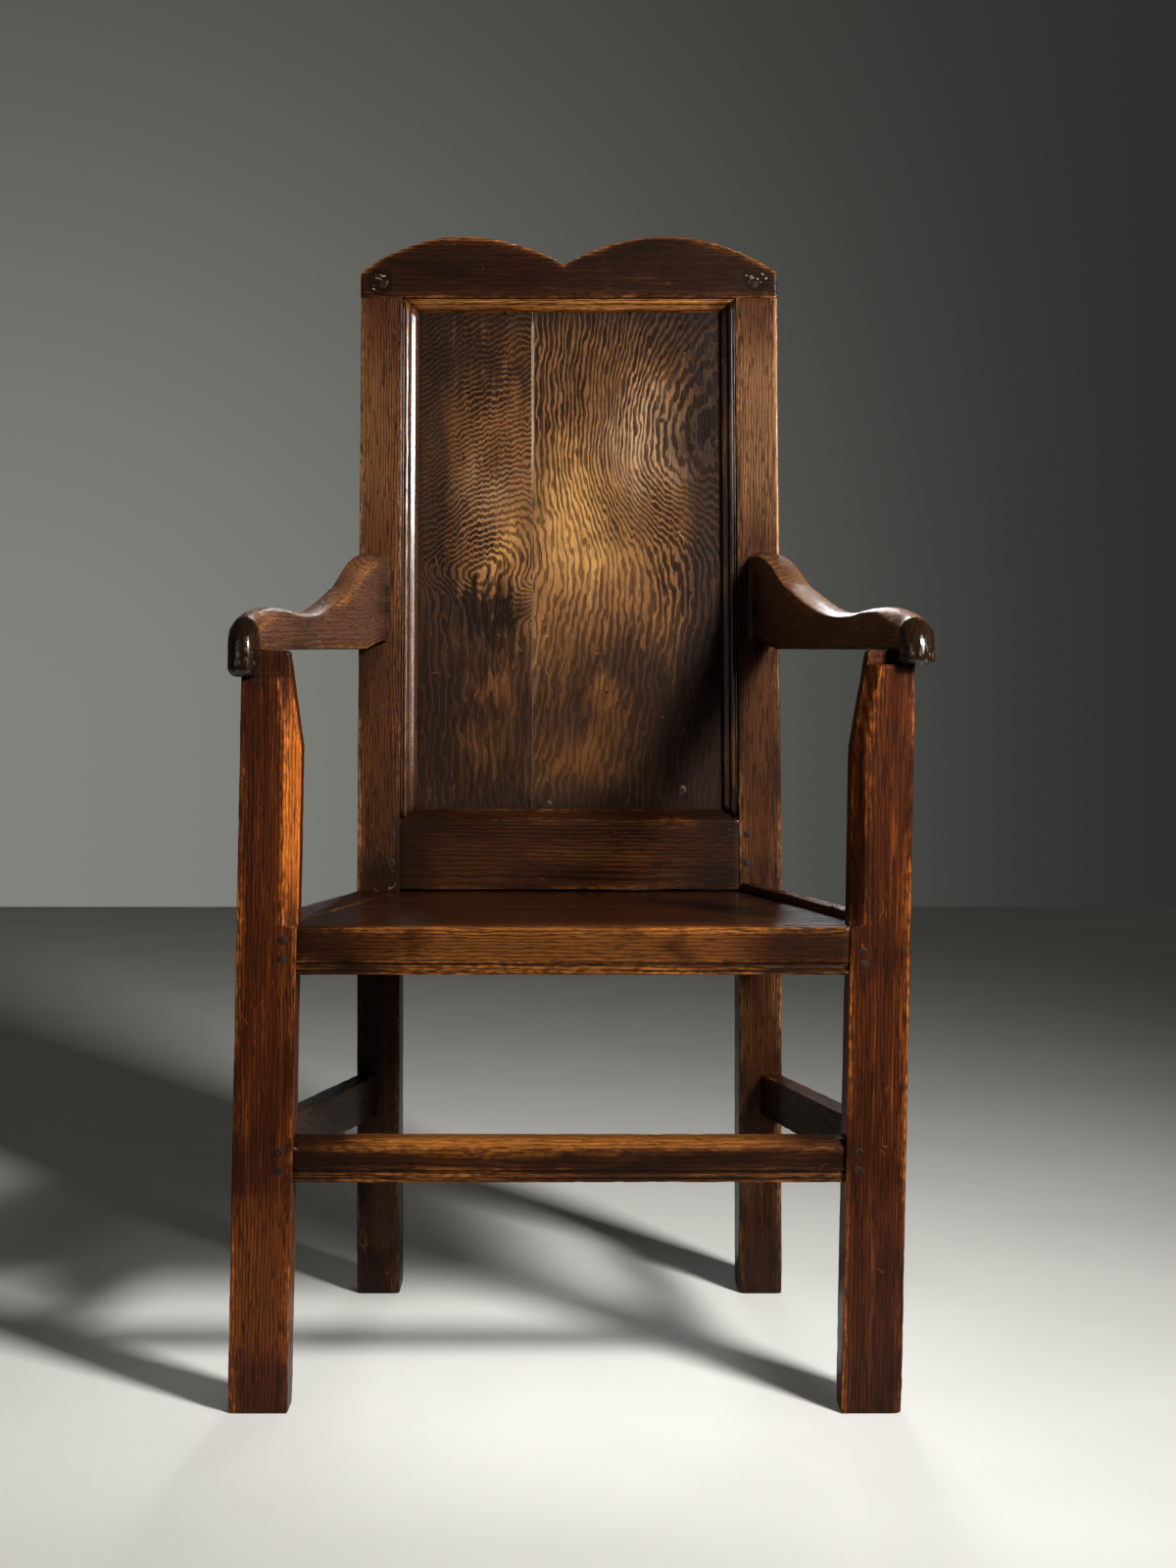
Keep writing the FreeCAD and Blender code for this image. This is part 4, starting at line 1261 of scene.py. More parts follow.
@dataclass(frozen=True)
class CrestRail(Assembly):
    """The double-arched rail over the posts."""

    end_height: float = 1127.0
    notch_height: float = 1136.5
    notch_x: float = -5.0
    left_peak: float = -119.0
    right_peak: float = 109.0
    thickness: float = 30.0
    arris: float = 2.6
    spacing: float = 4.0

    def top(self, x: float) -> float:
        """Return the height of the arched top, measured up the back.

        Args:
            x: The place across the back.

        Returns:
            The height.
        """
        left = x < self.notch_x
        peak_x = self.left_peak if left else self.right_peak
        outward = x < peak_x if left else x > peak_x
        if outward:
            run, drop = CHAIR.back_half_width - abs(peak_x), CHAIR.overall_height - self.end_height
        else:
            run, drop = abs(peak_x - self.notch_x), CHAIR.overall_height - self.notch_height
        radius = (run ** 2 + drop ** 2) / (2 * drop)
        return CHAIR.overall_height - radius + math.sqrt(radius ** 2 - (x - peak_x) ** 2)

    def section(self, x: float, drawn: float) -> Cut:
        """Make the crest's cross-section at a place across the back."""
        low, high = CHAIR.up_back(CHAIR.crest_lower) + drawn, CHAIR.up_back(self.top(x)) - drawn
        near, far = CHAIR.depth + drawn, CHAIR.depth + self.thickness - drawn
        corners = [(near, low), (near, high), (far, high), (far, low)]

        def place(a: float, b: float) -> Vector:
            """Put a point of the section on the chair."""
            return CHAIR.lean_over(Vector((x, a, b)))

        return Cut(corners, [1.0, self.arris, self.arris, 1.0], place, x)

    def grime(self, place: Vector) -> float:
        """Return how much dirt a place on the crest has, with painted shade over all of it, or how
        much it is rubbed below zero.
        """
        arch = self.top(min(max(place.x, -232), 232))
        edge = -0.75 * smooth(4.2, 0.8, abs(arch - place.z))
        low = 0.45 * smooth(1104, 1098, place.z)
        left = math.hypot(place.x + 211, place.z - 1116)
        right = math.hypot((place.x - 209) * 0.8, (place.z - 1118) * 1.3)
        bruise = 3.0 * smooth(16, 9, min(left, right)) * smooth(500, 490, place.y)
        # The 0.18 is painted shade over the whole crest.
        return edge + low + 0.18 + bruise

    def make(self) -> None:
        """Make the crest rail."""
        half = CHAIR.back_half_width
        across = worn_ends(spread(-half, half, self.spacing, self.notch_x), reach=1.8)
        bark = loft([self.section(x, drawn) for x, drawn in across])
        Wear(sway=0.5, nicks=0.9, seed=8.2).apply(bark)
        self.piece("crest", bark, Board(-360, -1060, 300), "crest_oak", "frame_oak",
                   ["crest_rail"], self.grime)


@dataclass(frozen=True)
class BottomRail(Assembly):
    """The back's bottom rail, bevelled along its top edge."""

    low: float = 441.5
    face_top: float = 517.0
    top: float = 530.0
    thickness: float = 26.0
    spacing: float = 6.0

    def section(self, x: float, drawn: float) -> Cut:
        """Make the rail's cross-section at a place across the back."""
        y = CHAIR.depth
        far = y + self.thickness - drawn
        low = CHAIR.up_back(self.low) + drawn
        corners = [(y + drawn, low), (y + drawn, CHAIR.up_back(self.face_top)),
                   (y + CHAIR.panel_setback, CHAIR.up_back(self.top) - drawn),
                   (far, CHAIR.up_back(self.top) - drawn), (far, low)]

        def place(a: float, b: float) -> Vector:
            """Put a point of the section on the chair."""
            return CHAIR.lean_over(Vector((x, a, b)))

        return Cut(corners, [1.6, 1.8, 1.0, 1.0, 1.2], place, x)

    def grime(self, place: Vector) -> float:
        """Return how much dirt a place on the rail has, or how much it is rubbed below zero."""
        ends = 1.0 * smooth(105, 178, abs(place.x + 5) + 14 * ripple(place, 26.0, 4.0))
        bevel = 0.5 * smooth(510, 528, place.z)
        middle = -0.3 * smooth(130, 20, abs(place.x - 30)) * smooth(30, 10, abs(place.z - 480))
        return ends + bevel + middle + 0.1

    def make(self) -> None:
        """Make the bottom rail."""
        half = CHAIR.post_inner
        across = worn_ends(spread(-half, half, self.spacing), reach=0.5)
        bark = loft([self.section(x, drawn) for x, drawn in across])
        Wear(sway=0.4, nicks=0.5, seed=9.4).apply(bark)
        self.piece("bottom_rail", bark, Board(-380, -440, 1500), "rail_oak",
                   "frame_oak", ["back_bottom_rail"], self.grime)


@dataclass(frozen=True)
class Panel(Assembly):
    """The back panel's two boards, butted on a seam that is off the middle."""

    thickness: float = 9.0
    low: float = 523.0
    high: float = 1105.0
    seam: float = -40.5
    seam_gap: float = 0.04
    spacing: float = 9.0

    def surface(self, start: float, end: float) -> Bark:
        """Make a board's surface.

        Args:
            start: Its first edge.
            end: Its last edge.

        Returns:
            The surface.
        """
        y = CHAIR.depth + CHAIR.panel_setback
        columns = 8
        low, high = CHAIR.up_back(self.low), CHAIR.up_back(self.high)
        cuts = []
        for z, drawn in worn_ends(spread(low, high, self.spacing), reach=0.5):
            corners = [(mix(start, end, i / columns), y) for i in range(columns + 1)]
            corners += [(end, y + self.thickness), (start, y + self.thickness)]
            radii = [0.6] + [0.1] * (columns - 1) + [0.6, 0.3, 0.3]

            def place(a: float, b: float, level: float = z) -> Vector:
                """Put a point of the section on the chair."""
                return CHAIR.lean_over(Vector((a, b, level)))

            cuts.append(Cut(corners, radii, place, z))
        bark = loft(cuts)
        for index, grain in enumerate(bark.grain):
            if min(abs(grain.x - start), abs(grain.x - end)) > 2:
                bark.arris[index] = 0.0
        return bark

    def grime(self, place: Vector) -> float:
        """Return how dark the panel's edges are, from dirt and painted shade, and below zero the
        seam's painted highlight.
        """
        side = smooth(CHAIR.post_inner - 26, CHAIR.post_inner - 15, abs(place.x))
        low = smooth(545, 528, place.z)
        high = smooth(1066, 1080, place.z)
        # A painted highlight along the seam's upper part.
        seam = 0.6 * smooth(1.0, 0.3, abs(place.x - self.seam)) * smooth(870, 930, place.z)
        return min(0.9, 0.55 * side + 0.6 * low + 0.55 * high) - seam

    def make(self) -> None:
        """Make both boards."""
        reach = CHAIR.post_inner
        gap = self.seam_gap / 2
        for word, start, end, finish in (("left", -reach, self.seam - gap, "panel_oak_left"),
                                         ("right", self.seam + gap, reach, "panel_oak_right")):
            bark = self.surface(start, end)
            Wear(sway=0.5, dents=0.0, nicks=0.25, seed=12.0).apply(bark)
            self.piece(f"panel_{word}", bark, Board(), finish, "panel_oak",
                       [f"back_panel_board_{word}"], self.grime)


@dataclass(frozen=True)
class Mouldings(Assembly):
    """The three planted mouldings round the panel, mitred at the top corners.

    The section has a bead, a quirk, a worn flat, a cove and a second flat. Its points are given
    from the frame's face across the panel, and from the panel forward.
    """

    width: float = 17.5
    top_width: float = 13.5
    depth: float = 11.0
    low: float = 512.0
    spacing: float = 9.0
    section: tuple[Point, ...] = (
        (0.0, 0.0), (0.0, 8.8), (0.3, 9.5), (1.0, 9.9), (1.8, 9.7), (2.3, 9.0), (2.6, 8.0),
        (2.9, 8.0), (3.0, 9.9), (3.3, 10.7), (3.9, 11.0), (4.5, 10.95), (5.3, 10.7), (6.1, 10.35),
        (6.9, 9.9), (7.5, 9.4), (7.9, 8.5), (8.3, 7.6), (9.0, 6.8), (9.9, 6.3), (10.8, 6.0),
        (11.8, 5.7), (12.4, 5.46), (13.7, 4.98), (14.3, 4.7), (15.0, 3.9),
        (15.9, 2.2), (16.2, 1.3), (17.5, 0.9), (17.5, 0.0))

    def run(self, width: float, length: list[float],
            place: Callable[[float, float, float], Vector]) -> Bark:
        """Run the section along a moulding.

        Args:
            width: The moulding's width.
            length: Distances along the moulding.
            place: Puts a distance across, forward and along on the chair.

        Returns:
            The surface.
        """
        def worn(across: float, forward: float) -> float:
            """Return how worn the section is at a point."""
            proud = smooth(self.depth - 2.4, self.depth - 0.4, forward)
            return max(proud, smooth(2.6, 1.0, abs(across - width * 0.74)) * 0.6)

        outline = [(across * width / self.width, forward) for across, forward in self.section]
        return sweep(outline, length, place, worn)

    def make(self) -> None:
        """Make the three mouldings."""
        y = CHAIR.depth + CHAIR.panel_setback
        top = CHAIR.up_back(CHAIR.crest_lower)
        low = CHAIR.up_back(self.low)
        shares = spread(0.0, 1.0, self.spacing / (top - low))
        bottom = BottomRail(self.finishes)

        for side in Side:
            def upright(across: float, forward: float, share: float,
                        sign: int = side.sign) -> Vector:
                """Put a point of a side moulding on the chair."""
                bevel = (bottom.top - bottom.face_top) / CHAIR.panel_setback
                foot = CHAIR.up_back(bottom.top) - bevel * forward + 0.3
                height = mix(foot, top - across * self.top_width / self.width, share)
                return CHAIR.lean_over(Vector((sign * (CHAIR.post_inner - across), y - forward,
                                               height)))

            bark = self.run(self.width, shares, upright)
            for grain in bark.grain:
                grain.z *= top - low
            Wear(sway=0.25, dents=0.1, nicks=0.5, seed=14 + side.sign).apply(bark)
            self.piece(f"moulding_{side.word}", bark, Board(40 * side.sign, 30, 100, True),
                       "bead_oak", "moulding_oak", [f"back_moulding_{side.word}"],
                       self.grime)

        def level(across: float, forward: float, share: float) -> Vector:
            """Put a point of the top moulding on the chair."""
            end = CHAIR.post_inner - across * self.width / self.top_width
            return CHAIR.lean_over(Vector((mix(-end, end, share), y - forward, top - across)))

        bark = self.run(self.top_width, shares, level)
        for grain in bark.grain:
            grain.z *= 2 * CHAIR.post_inner
        Wear(sway=0.25, dents=0.1, nicks=0.4, seed=18).apply(bark)
        self.piece("moulding_top", bark, Board(10, 34, 2100, True),
                   "moulding_oak", "moulding_oak", ["back_moulding_top"], self.grime)

    def grime(self, place: Vector) -> float:
        """Return how much dirt has gathered at a place on the mouldings, with painted shade on the
        right one.
        """
        # Painted shade, with some dirt: the right moulding is made nearly black.
        dark = 0.9 * smooth(150, 168, place.x) * smooth(1098, 1088, place.z)
        low = 0.6 * smooth(575, 535, place.z)
        high = -0.35 * smooth(1086, 1092, place.z) * smooth(180, 160, abs(place.x))
        return dark + low + high + 0.1


def scratch_corners(face: float, low: float, high: float, back: float, draw: float,
                    depth: float) -> list[Point]:
    """Return a rail's section with a scratch moulding along its lower front edge.

    Args:
        face: The front face's depth.
        low: The lower edge's height.
        high: The upper edge's height.
        back: The back face's depth.
        draw: How far the section is drawn in.
        depth: How deep the moulding is here, 1 where it is crisp.

    Returns:
        The corners, from the top front one down.
    """
    near = face + draw
    quirk, hollow = 1.6 * depth, 1.3 * depth
    return [(near, high - draw), (near, low + 11.4), (near + quirk, low + 10.6),
            (near + quirk, low + 9.4), (near + 0.3, low + 8.2), (near + 0.3, low + 5.4),
            (near + hollow, low + 4.2), (near + hollow, low + 3.2), (near + 0.2, low + 2.2),
            (near + 0.4, low + draw), (back - draw, low + draw), (back - draw, high - draw)]


def scratch_grime(place: Vector, low: float) -> float:
    """Return the dirt in the quirks of a scratch moulding, over a rail's lower edge."""
    up = place.z - low
    return 1.1 * smooth(2.0, 0.8, abs(up - 10)) + 0.7 * smooth(1.4, 0.5, abs(up - 3.7))


SCRATCH_RADII = [0.5, 0.25, 0.25, 1.0, 1.0, 0.3, 0.3, 0.8, 0.9, 1.0, 1.0]


@dataclass(frozen=True)
class FrontBars(Assembly):
    """The front seat rail and the front stretcher, each with a scratch moulding."""

    rail_face: float = 2.0
    rail_back: float = 31.0
    rail_low: float = 396.0
    rail_round: float = 4.0
    ledge: float = 14.0
    board: float = 14.0
    stretcher_face: float = 3.5
    stretcher_back: float = 34.5
    stretcher_low: float = 208.0
    stretcher_high: float = 247.0
    bevel_height: float = 8.0
    bevel_depth: float = 6.0
    spacing: float = 6.0

    def between_legs(self, share: float) -> Callable[[float, float], Vector]:
        """Return what puts a section at a share of the way between the front legs' inner faces."""
        def place(a: float, b: float) -> Vector:
            """Put a point of the section on the chair."""
            return Vector((share * CHAIR.leg_inner + CHAIR.leg_lean(b), a, b))

        return place

    def rail_section(self, x: float, drawn: float) -> Cut:
        """Make the front seat rail's cross-section, stepped behind for the seat board."""
        crisp = 0.35 + 0.65 * smooth(110, 200, abs(x + 10))
        sag = 1.3 * smooth(190, 40, abs(x - 20)) * (0.6 + 0.4 * math.sin(x / 21.0))
        top = CHAIR.seat_height - 0.3 - sag
        corners = scratch_corners(self.rail_face, self.rail_low, top, self.rail_back, drawn, crisp)
        corners[-1] = (self.rail_back - drawn, CHAIR.seat_height - self.board)
        corners += [(self.ledge, CHAIR.seat_height - self.board), (self.ledge, top)]
        radii = [self.rail_round + 1.2 * smooth(200, 60, abs(x))] + SCRATCH_RADII + [0.3, 0.8]
        return Cut(corners, radii, self.between_legs(x / CHAIR.leg_inner), x)

    def rail_grime(self, place: Vector) -> float:
        """Return how much dirt a place on the front rail has, or how it is rubbed below zero."""
        ends = 0.7 * smooth(165, 205, abs(place.x + 8) + 18 * ripple(place, 22.0, 9.0))
        golden = -0.34 * smooth(190, 110, abs(place.x + 5)) * smooth(398, 412, place.z)
        top = -0.35 * smooth(436, 439.5, place.z) * smooth(9, 5, place.y)
        patch = 0.3 * smooth(0.0, 0.9, ripple(place, 38.0, 5.0) + 0.6 * ripple(place, 10.0, 6.0))
        worn = -0.25 * smooth(405, 402, place.z) * smooth(170, 90, abs(place.x + 20))
        return ends + golden + top + patch + scratch_grime(place, self.rail_low) + worn

    def stretcher_section(self, x: float, drawn: float) -> Cut:
        """Make the front stretcher's cross-section, bevelled along its top front edge."""
        face, high = self.stretcher_face, self.stretcher_high
        worn = smooth(190, 60, abs(x + 5))
        corners = scratch_corners(face, self.stretcher_low, high - self.bevel_height,
                                  self.stretcher_back, drawn, 0.9)
        corners[0] = (face + drawn, high - self.bevel_height - 2.5 * worn)
        corners[-1] = (self.stretcher_back - drawn, high - drawn)
        corners.append((face + self.bevel_depth + 2.0 * worn, high - drawn - 0.8 * worn))
        radii = [2.0 + 3 * worn] + SCRATCH_RADII[:-1] + [1.5, 1.5 + 3 * worn]
        return Cut(corners, radii, self.between_legs(x / CHAIR.leg_inner), x)

    def stretcher_grime(self, place: Vector) -> float:
        """Return how much dirt a place on the stretcher has, or how it is rubbed below zero."""
        ends = 0.6 * smooth(185, 246, abs(place.x))
        top = -0.7 * smooth(236, 243, place.z) * smooth(235, 120, abs(place.x))
        face = 0.75 * smooth(218, 221, place.z) * smooth(240, 234, place.z)
        return ends + top + scratch_grime(place, self.stretcher_low) + face - 0.1

    def make(self) -> None:
        """Make the front rail and the front stretcher."""
        reach = CHAIR.leg_inner
        across = worn_ends(spread(-reach, reach, self.spacing), reach=0.4)
        bark = loft([self.rail_section(x, drawn) for x, drawn in across])
        Wear(sway=0.4, dents=0.15, nicks=0.9, seed=21.3).apply(bark)
        self.piece("front_rail", bark, Board(-18, -345, 700), "rail_oak",
                   "frame_oak", ["seat_front_rail"], self.rail_grime)
        bark = loft([self.stretcher_section(x, drawn) for x, drawn in across])
        Wear(sway=0.45, dents=0.15, nicks=0.9, seed=23.9).apply(bark)
        self.piece("stretcher_front", bark, Board(30, -190, 2600), "rail_oak",
                   "frame_oak", ["front_stretcher"], self.stretcher_grime)


@dataclass(frozen=True)
class SideBars(Assembly):
    """The side seat rails, the side stretchers and the back seat rail."""

    rail_thickness: float = 45.0
    rail_low: float = 396.0
    stretcher_thickness: float = 23.0
    stretcher_front_low: float = 204.5
    stretcher_back_low: float = 195.0
    stretcher_height: float = 44.5
    back_setback: float = 22.0
    back_thickness: float = 28.0
    back_top: float = 426.0
    spacing: float = 9.0

    def surface(self, side: Side, thickness: float, lows: Point, height: float) -> Bark:
        """Make a bar along the line of the legs' and posts' outer faces.

        Args:
            side: Which side of the chair.
            thickness: The bar's thickness.
            lows: Its lower edge at the leg and at the post.
            height: Its height.

        Returns:
            The surface.
        """
        cuts = []
        for y, drawn in worn_ends(spread(CHAIR.leg_depth, CHAIR.depth, self.spacing), reach=0.3):
            share = (y - CHAIR.leg_depth) / (CHAIR.depth - CHAIR.leg_depth)
            low = mix(*lows, share)
            lean = CHAIR.leg_lean(low + height) * (1 - share)
            outer = CHAIR.outer_line(y)
            corners = [(drawn, drawn), (thickness - drawn, drawn),
                       (thickness - drawn, height - drawn), (drawn, height - drawn)]

            def place(a: float, b: float, outer: float = outer, lean: float = lean,
                      y: float = y, low: float = low) -> Vector:
                """Put a point of the section on the chair."""
                return Vector((side.sign * (outer - a) + lean, y, low + b))

            cuts.append(Cut(corners, [1.6, 1.6, 1.2, 1.6], place, y))
        return loft(cuts)

    def grime(self, place: Vector) -> float:
        """Return how much dirt a place on a side bar has."""
        ends = 0.4 * smooth(70, 42, place.y) + 0.5 * smooth(370, 410, place.y)
        return ends + 0.22 + 0.2 * smooth(300, 200, place.z)

    def make(self) -> None:
        """Make the side rails, the side stretchers and the back rail."""
        top = CHAIR.seat_height - self.rail_low
        lows = (self.stretcher_front_low, self.stretcher_back_low)
        for side in Side:
            seed = 31.0 + side.sign
            rail = self.surface(side, self.rail_thickness, (self.rail_low, self.rail_low), top)
            Wear(sway=0.35, nicks=0.5, seed=seed).apply(rail)
            self.piece(f"side_rail_{side.word}", rail, Board(20, 50 * side.sign, 3300),
                       "rail_oak", "frame_oak", [f"seat_side_rail_{side.word}"], self.grime)
            bar = self.surface(side, self.stretcher_thickness, lows, self.stretcher_height)
            Wear(sway=0.45, nicks=0.9, seed=seed + 4).apply(bar)
            self.piece(f"stretcher_{side.word}", bar, Board(-20, 60 * side.sign, 3900),
                       "rail_oak", "frame_oak", [f"side_stretcher_{side.word}"], self.grime)
        self.make_back_rail()

    def make_back_rail(self) -> None:
        """Make the seat's back rail, under the rear board."""
        near = CHAIR.depth + self.back_setback
        far = near + self.back_thickness
        reach = CHAIR.post_inner
        cuts = []
        for x, drawn in worn_ends(spread(-reach, reach, self.spacing), reach=0.3):
            corners = [(near + drawn, self.rail_low + drawn), (far - drawn, self.rail_low + drawn),
                       (far - drawn, self.back_top - drawn), (near + drawn, self.back_top - drawn)]

            def place(a: float, b: float, x: float = x) -> Vector:
                """Put a point of the section on the chair."""
                return Vector((x, a, b))

            cuts.append(Cut(corners, [1.4] * 4, place, x))
        bark = loft(cuts)
        Wear(sway=0.3, nicks=0.5, seed=41.0).apply(bark)
        self.piece("back_rail", bark, Board(-450, -380, 4400), "rail_oak",
                   "frame_oak", ["seat_back_rail"], self.grime)


@dataclass(frozen=True)
class SeatBoards(Assembly):
    """The seat's two boards, let in flush between the side rails."""

    thickness: float = 14.0
    front: float = 14.2
    joint: float = 214.0
    gap: float = 0.3
    back: float = 458.0
    rail_thickness: float = 45.0
    spacing: float = 8.0

    def half(self, y: float) -> float:
        """Return the boards' half width at a depth, notched round the legs and posts."""
        if y < CHAIR.leg_depth + self.gap:
            return CHAIR.leg_inner - self.gap - 0.5
        if y > CHAIR.depth - self.gap:
            return CHAIR.post_inner - self.gap
        return CHAIR.outer_line(y) - self.rail_thickness - self.gap

    def surface(self, start: float, end: float, notch: float) -> Bark:
        """Make a board's surface.

        Args:
            start: Its front edge.
            end: Its back edge.
            notch: Where its width steps.

        Returns:
            The surface.
        """
        depths = worn_ends(spread(start, end, self.spacing), reach=0.8)
        depths = [(y, d) for y, d in depths if abs(y - notch) > 1.5]
        depths += [(notch - 0.15, 0.0), (notch + 0.15, 0.0)]
        depths.sort()
        columns = 16
        low, high = CHAIR.seat_height - self.thickness, CHAIR.seat_height
        cuts = []
        for y, drawn in depths:
            half = self.half(y) - drawn
            top = [(mix(-half, half, i / columns), high - drawn * 0.6) for i in range(columns + 1)]
            corners = top + [(half, low), (-half, low)]
            radii = [0.8] + [0.1] * (columns - 1) + [0.8, 0.5, 0.5]

            def place(a: float, b: float, y: float = y) -> Vector:
                """Put a point of the section on the chair."""
                return Vector((a, y, b))

            cuts.append(Cut(corners, radii, place, y))
        bark = loft(cuts)
        for index, place in enumerate(bark.places):
            across = bark.grain[index].x
            bark.grain[index] = Vector((place.y, bark.grain[index].y, across))
            inset = min(place.y - start, end - place.y)
            if inset > 2 and abs(abs(across) - self.half(place.y)) > 2:
                bark.arris[index] = 0.0
        return bark

    def grime(self, place: Vector) -> float:
        """Return how much dirt a place on the seat has, or how much it is rubbed below zero."""
        back = 0.55 * smooth(330, 410, place.y)
        edge = 0.35 * smooth(45, 10, CHAIR.outer_line(place.y) - self.rail_thickness - abs(place.x))
        front = -0.4 * smooth(70, 20, place.y) * smooth(230, 120, abs(place.x))
        return back + edge + front + 0.1

    def make(self) -> None:
        """Make both seat boards."""
        for word, start, end, notch, shift in (
                ("front", self.front, self.joint, CHAIR.leg_depth + self.gap, 0.0),
                ("rear", self.joint + self.gap, self.back, CHAIR.depth - self.gap, 900.0)):
            bark = self.surface(start, end, notch)
            Wear(sway=0.45, dents=0.25, nicks=0.5, seed=51 + shift).apply(bark)
            self.piece(f"seat_{word}", bark, Board(shift - 110, -330, 5000 + shift),
                       "seat_oak", "seat_oak", [f"seat_board_{word}"], self.grime)


@dataclass(frozen=True)
class SeatStrip(Assembly):
    """The strip of two reeds along the seat's right side."""

    width: float = 15.5
    height: float = 9.5
    inner: float = 45.0
    quirk: float = 1.6
    spacing: float = 8.0

    def outline(self) -> list[Point]:
        """Return the strip's section, from its inner lower corner: inward and up."""
        half = self.width / 2
        reeds: list[Point] = [(0.0, 0.0), (0.0, 3.4), (1.4, 4.2)]
        for centre, radius in ((half * 0.5 + 0.4, half * 0.46), (half * 1.5, half * 0.48)):
            for step in range(9):
                turn = math.pi * (0.04 + 0.92 * step / 8)
                reeds.append((centre - radius * math.cos(turn),
                              self.height - radius * 0.82 + radius * 0.82 * math.sin(turn)))
        reeds.append((self.width, 0.0))
        return reeds

    def make(self) -> None:
        """Make the strip."""
        def place(across: float, up: float, y: float) -> Vector:
            """Put a point of the section on the chair."""
            edge = CHAIR.outer_line(y) - self.inner
            return Vector((edge + across, y, CHAIR.seat_height + up))

        def worn(_: float, up: float) -> float:
            """Return how worn the section is at a point."""
            return smooth(self.height - 2.0, self.height - 0.2, up)

        depths = spread(CHAIR.leg_depth + 0.2, CHAIR.depth - 0.2, self.spacing)
        bark = sweep(self.outline(), depths, place, worn)
        Wear(sway=0.2, dents=0.1, nicks=0.5, seed=61).apply(bark)
        self.piece("seat_strip", bark, Board(30, 44, 6500), "bead_oak",
                   "moulding_oak", ["seat_side_moulding"], self.grime)

    def grime(self, place: Vector) -> float:
        """Return how much dirt a place on the strip has."""
        return 0.55 * smooth(446, 441, place.z) + 0.3 * smooth(340, 400, place.y) + 0.15


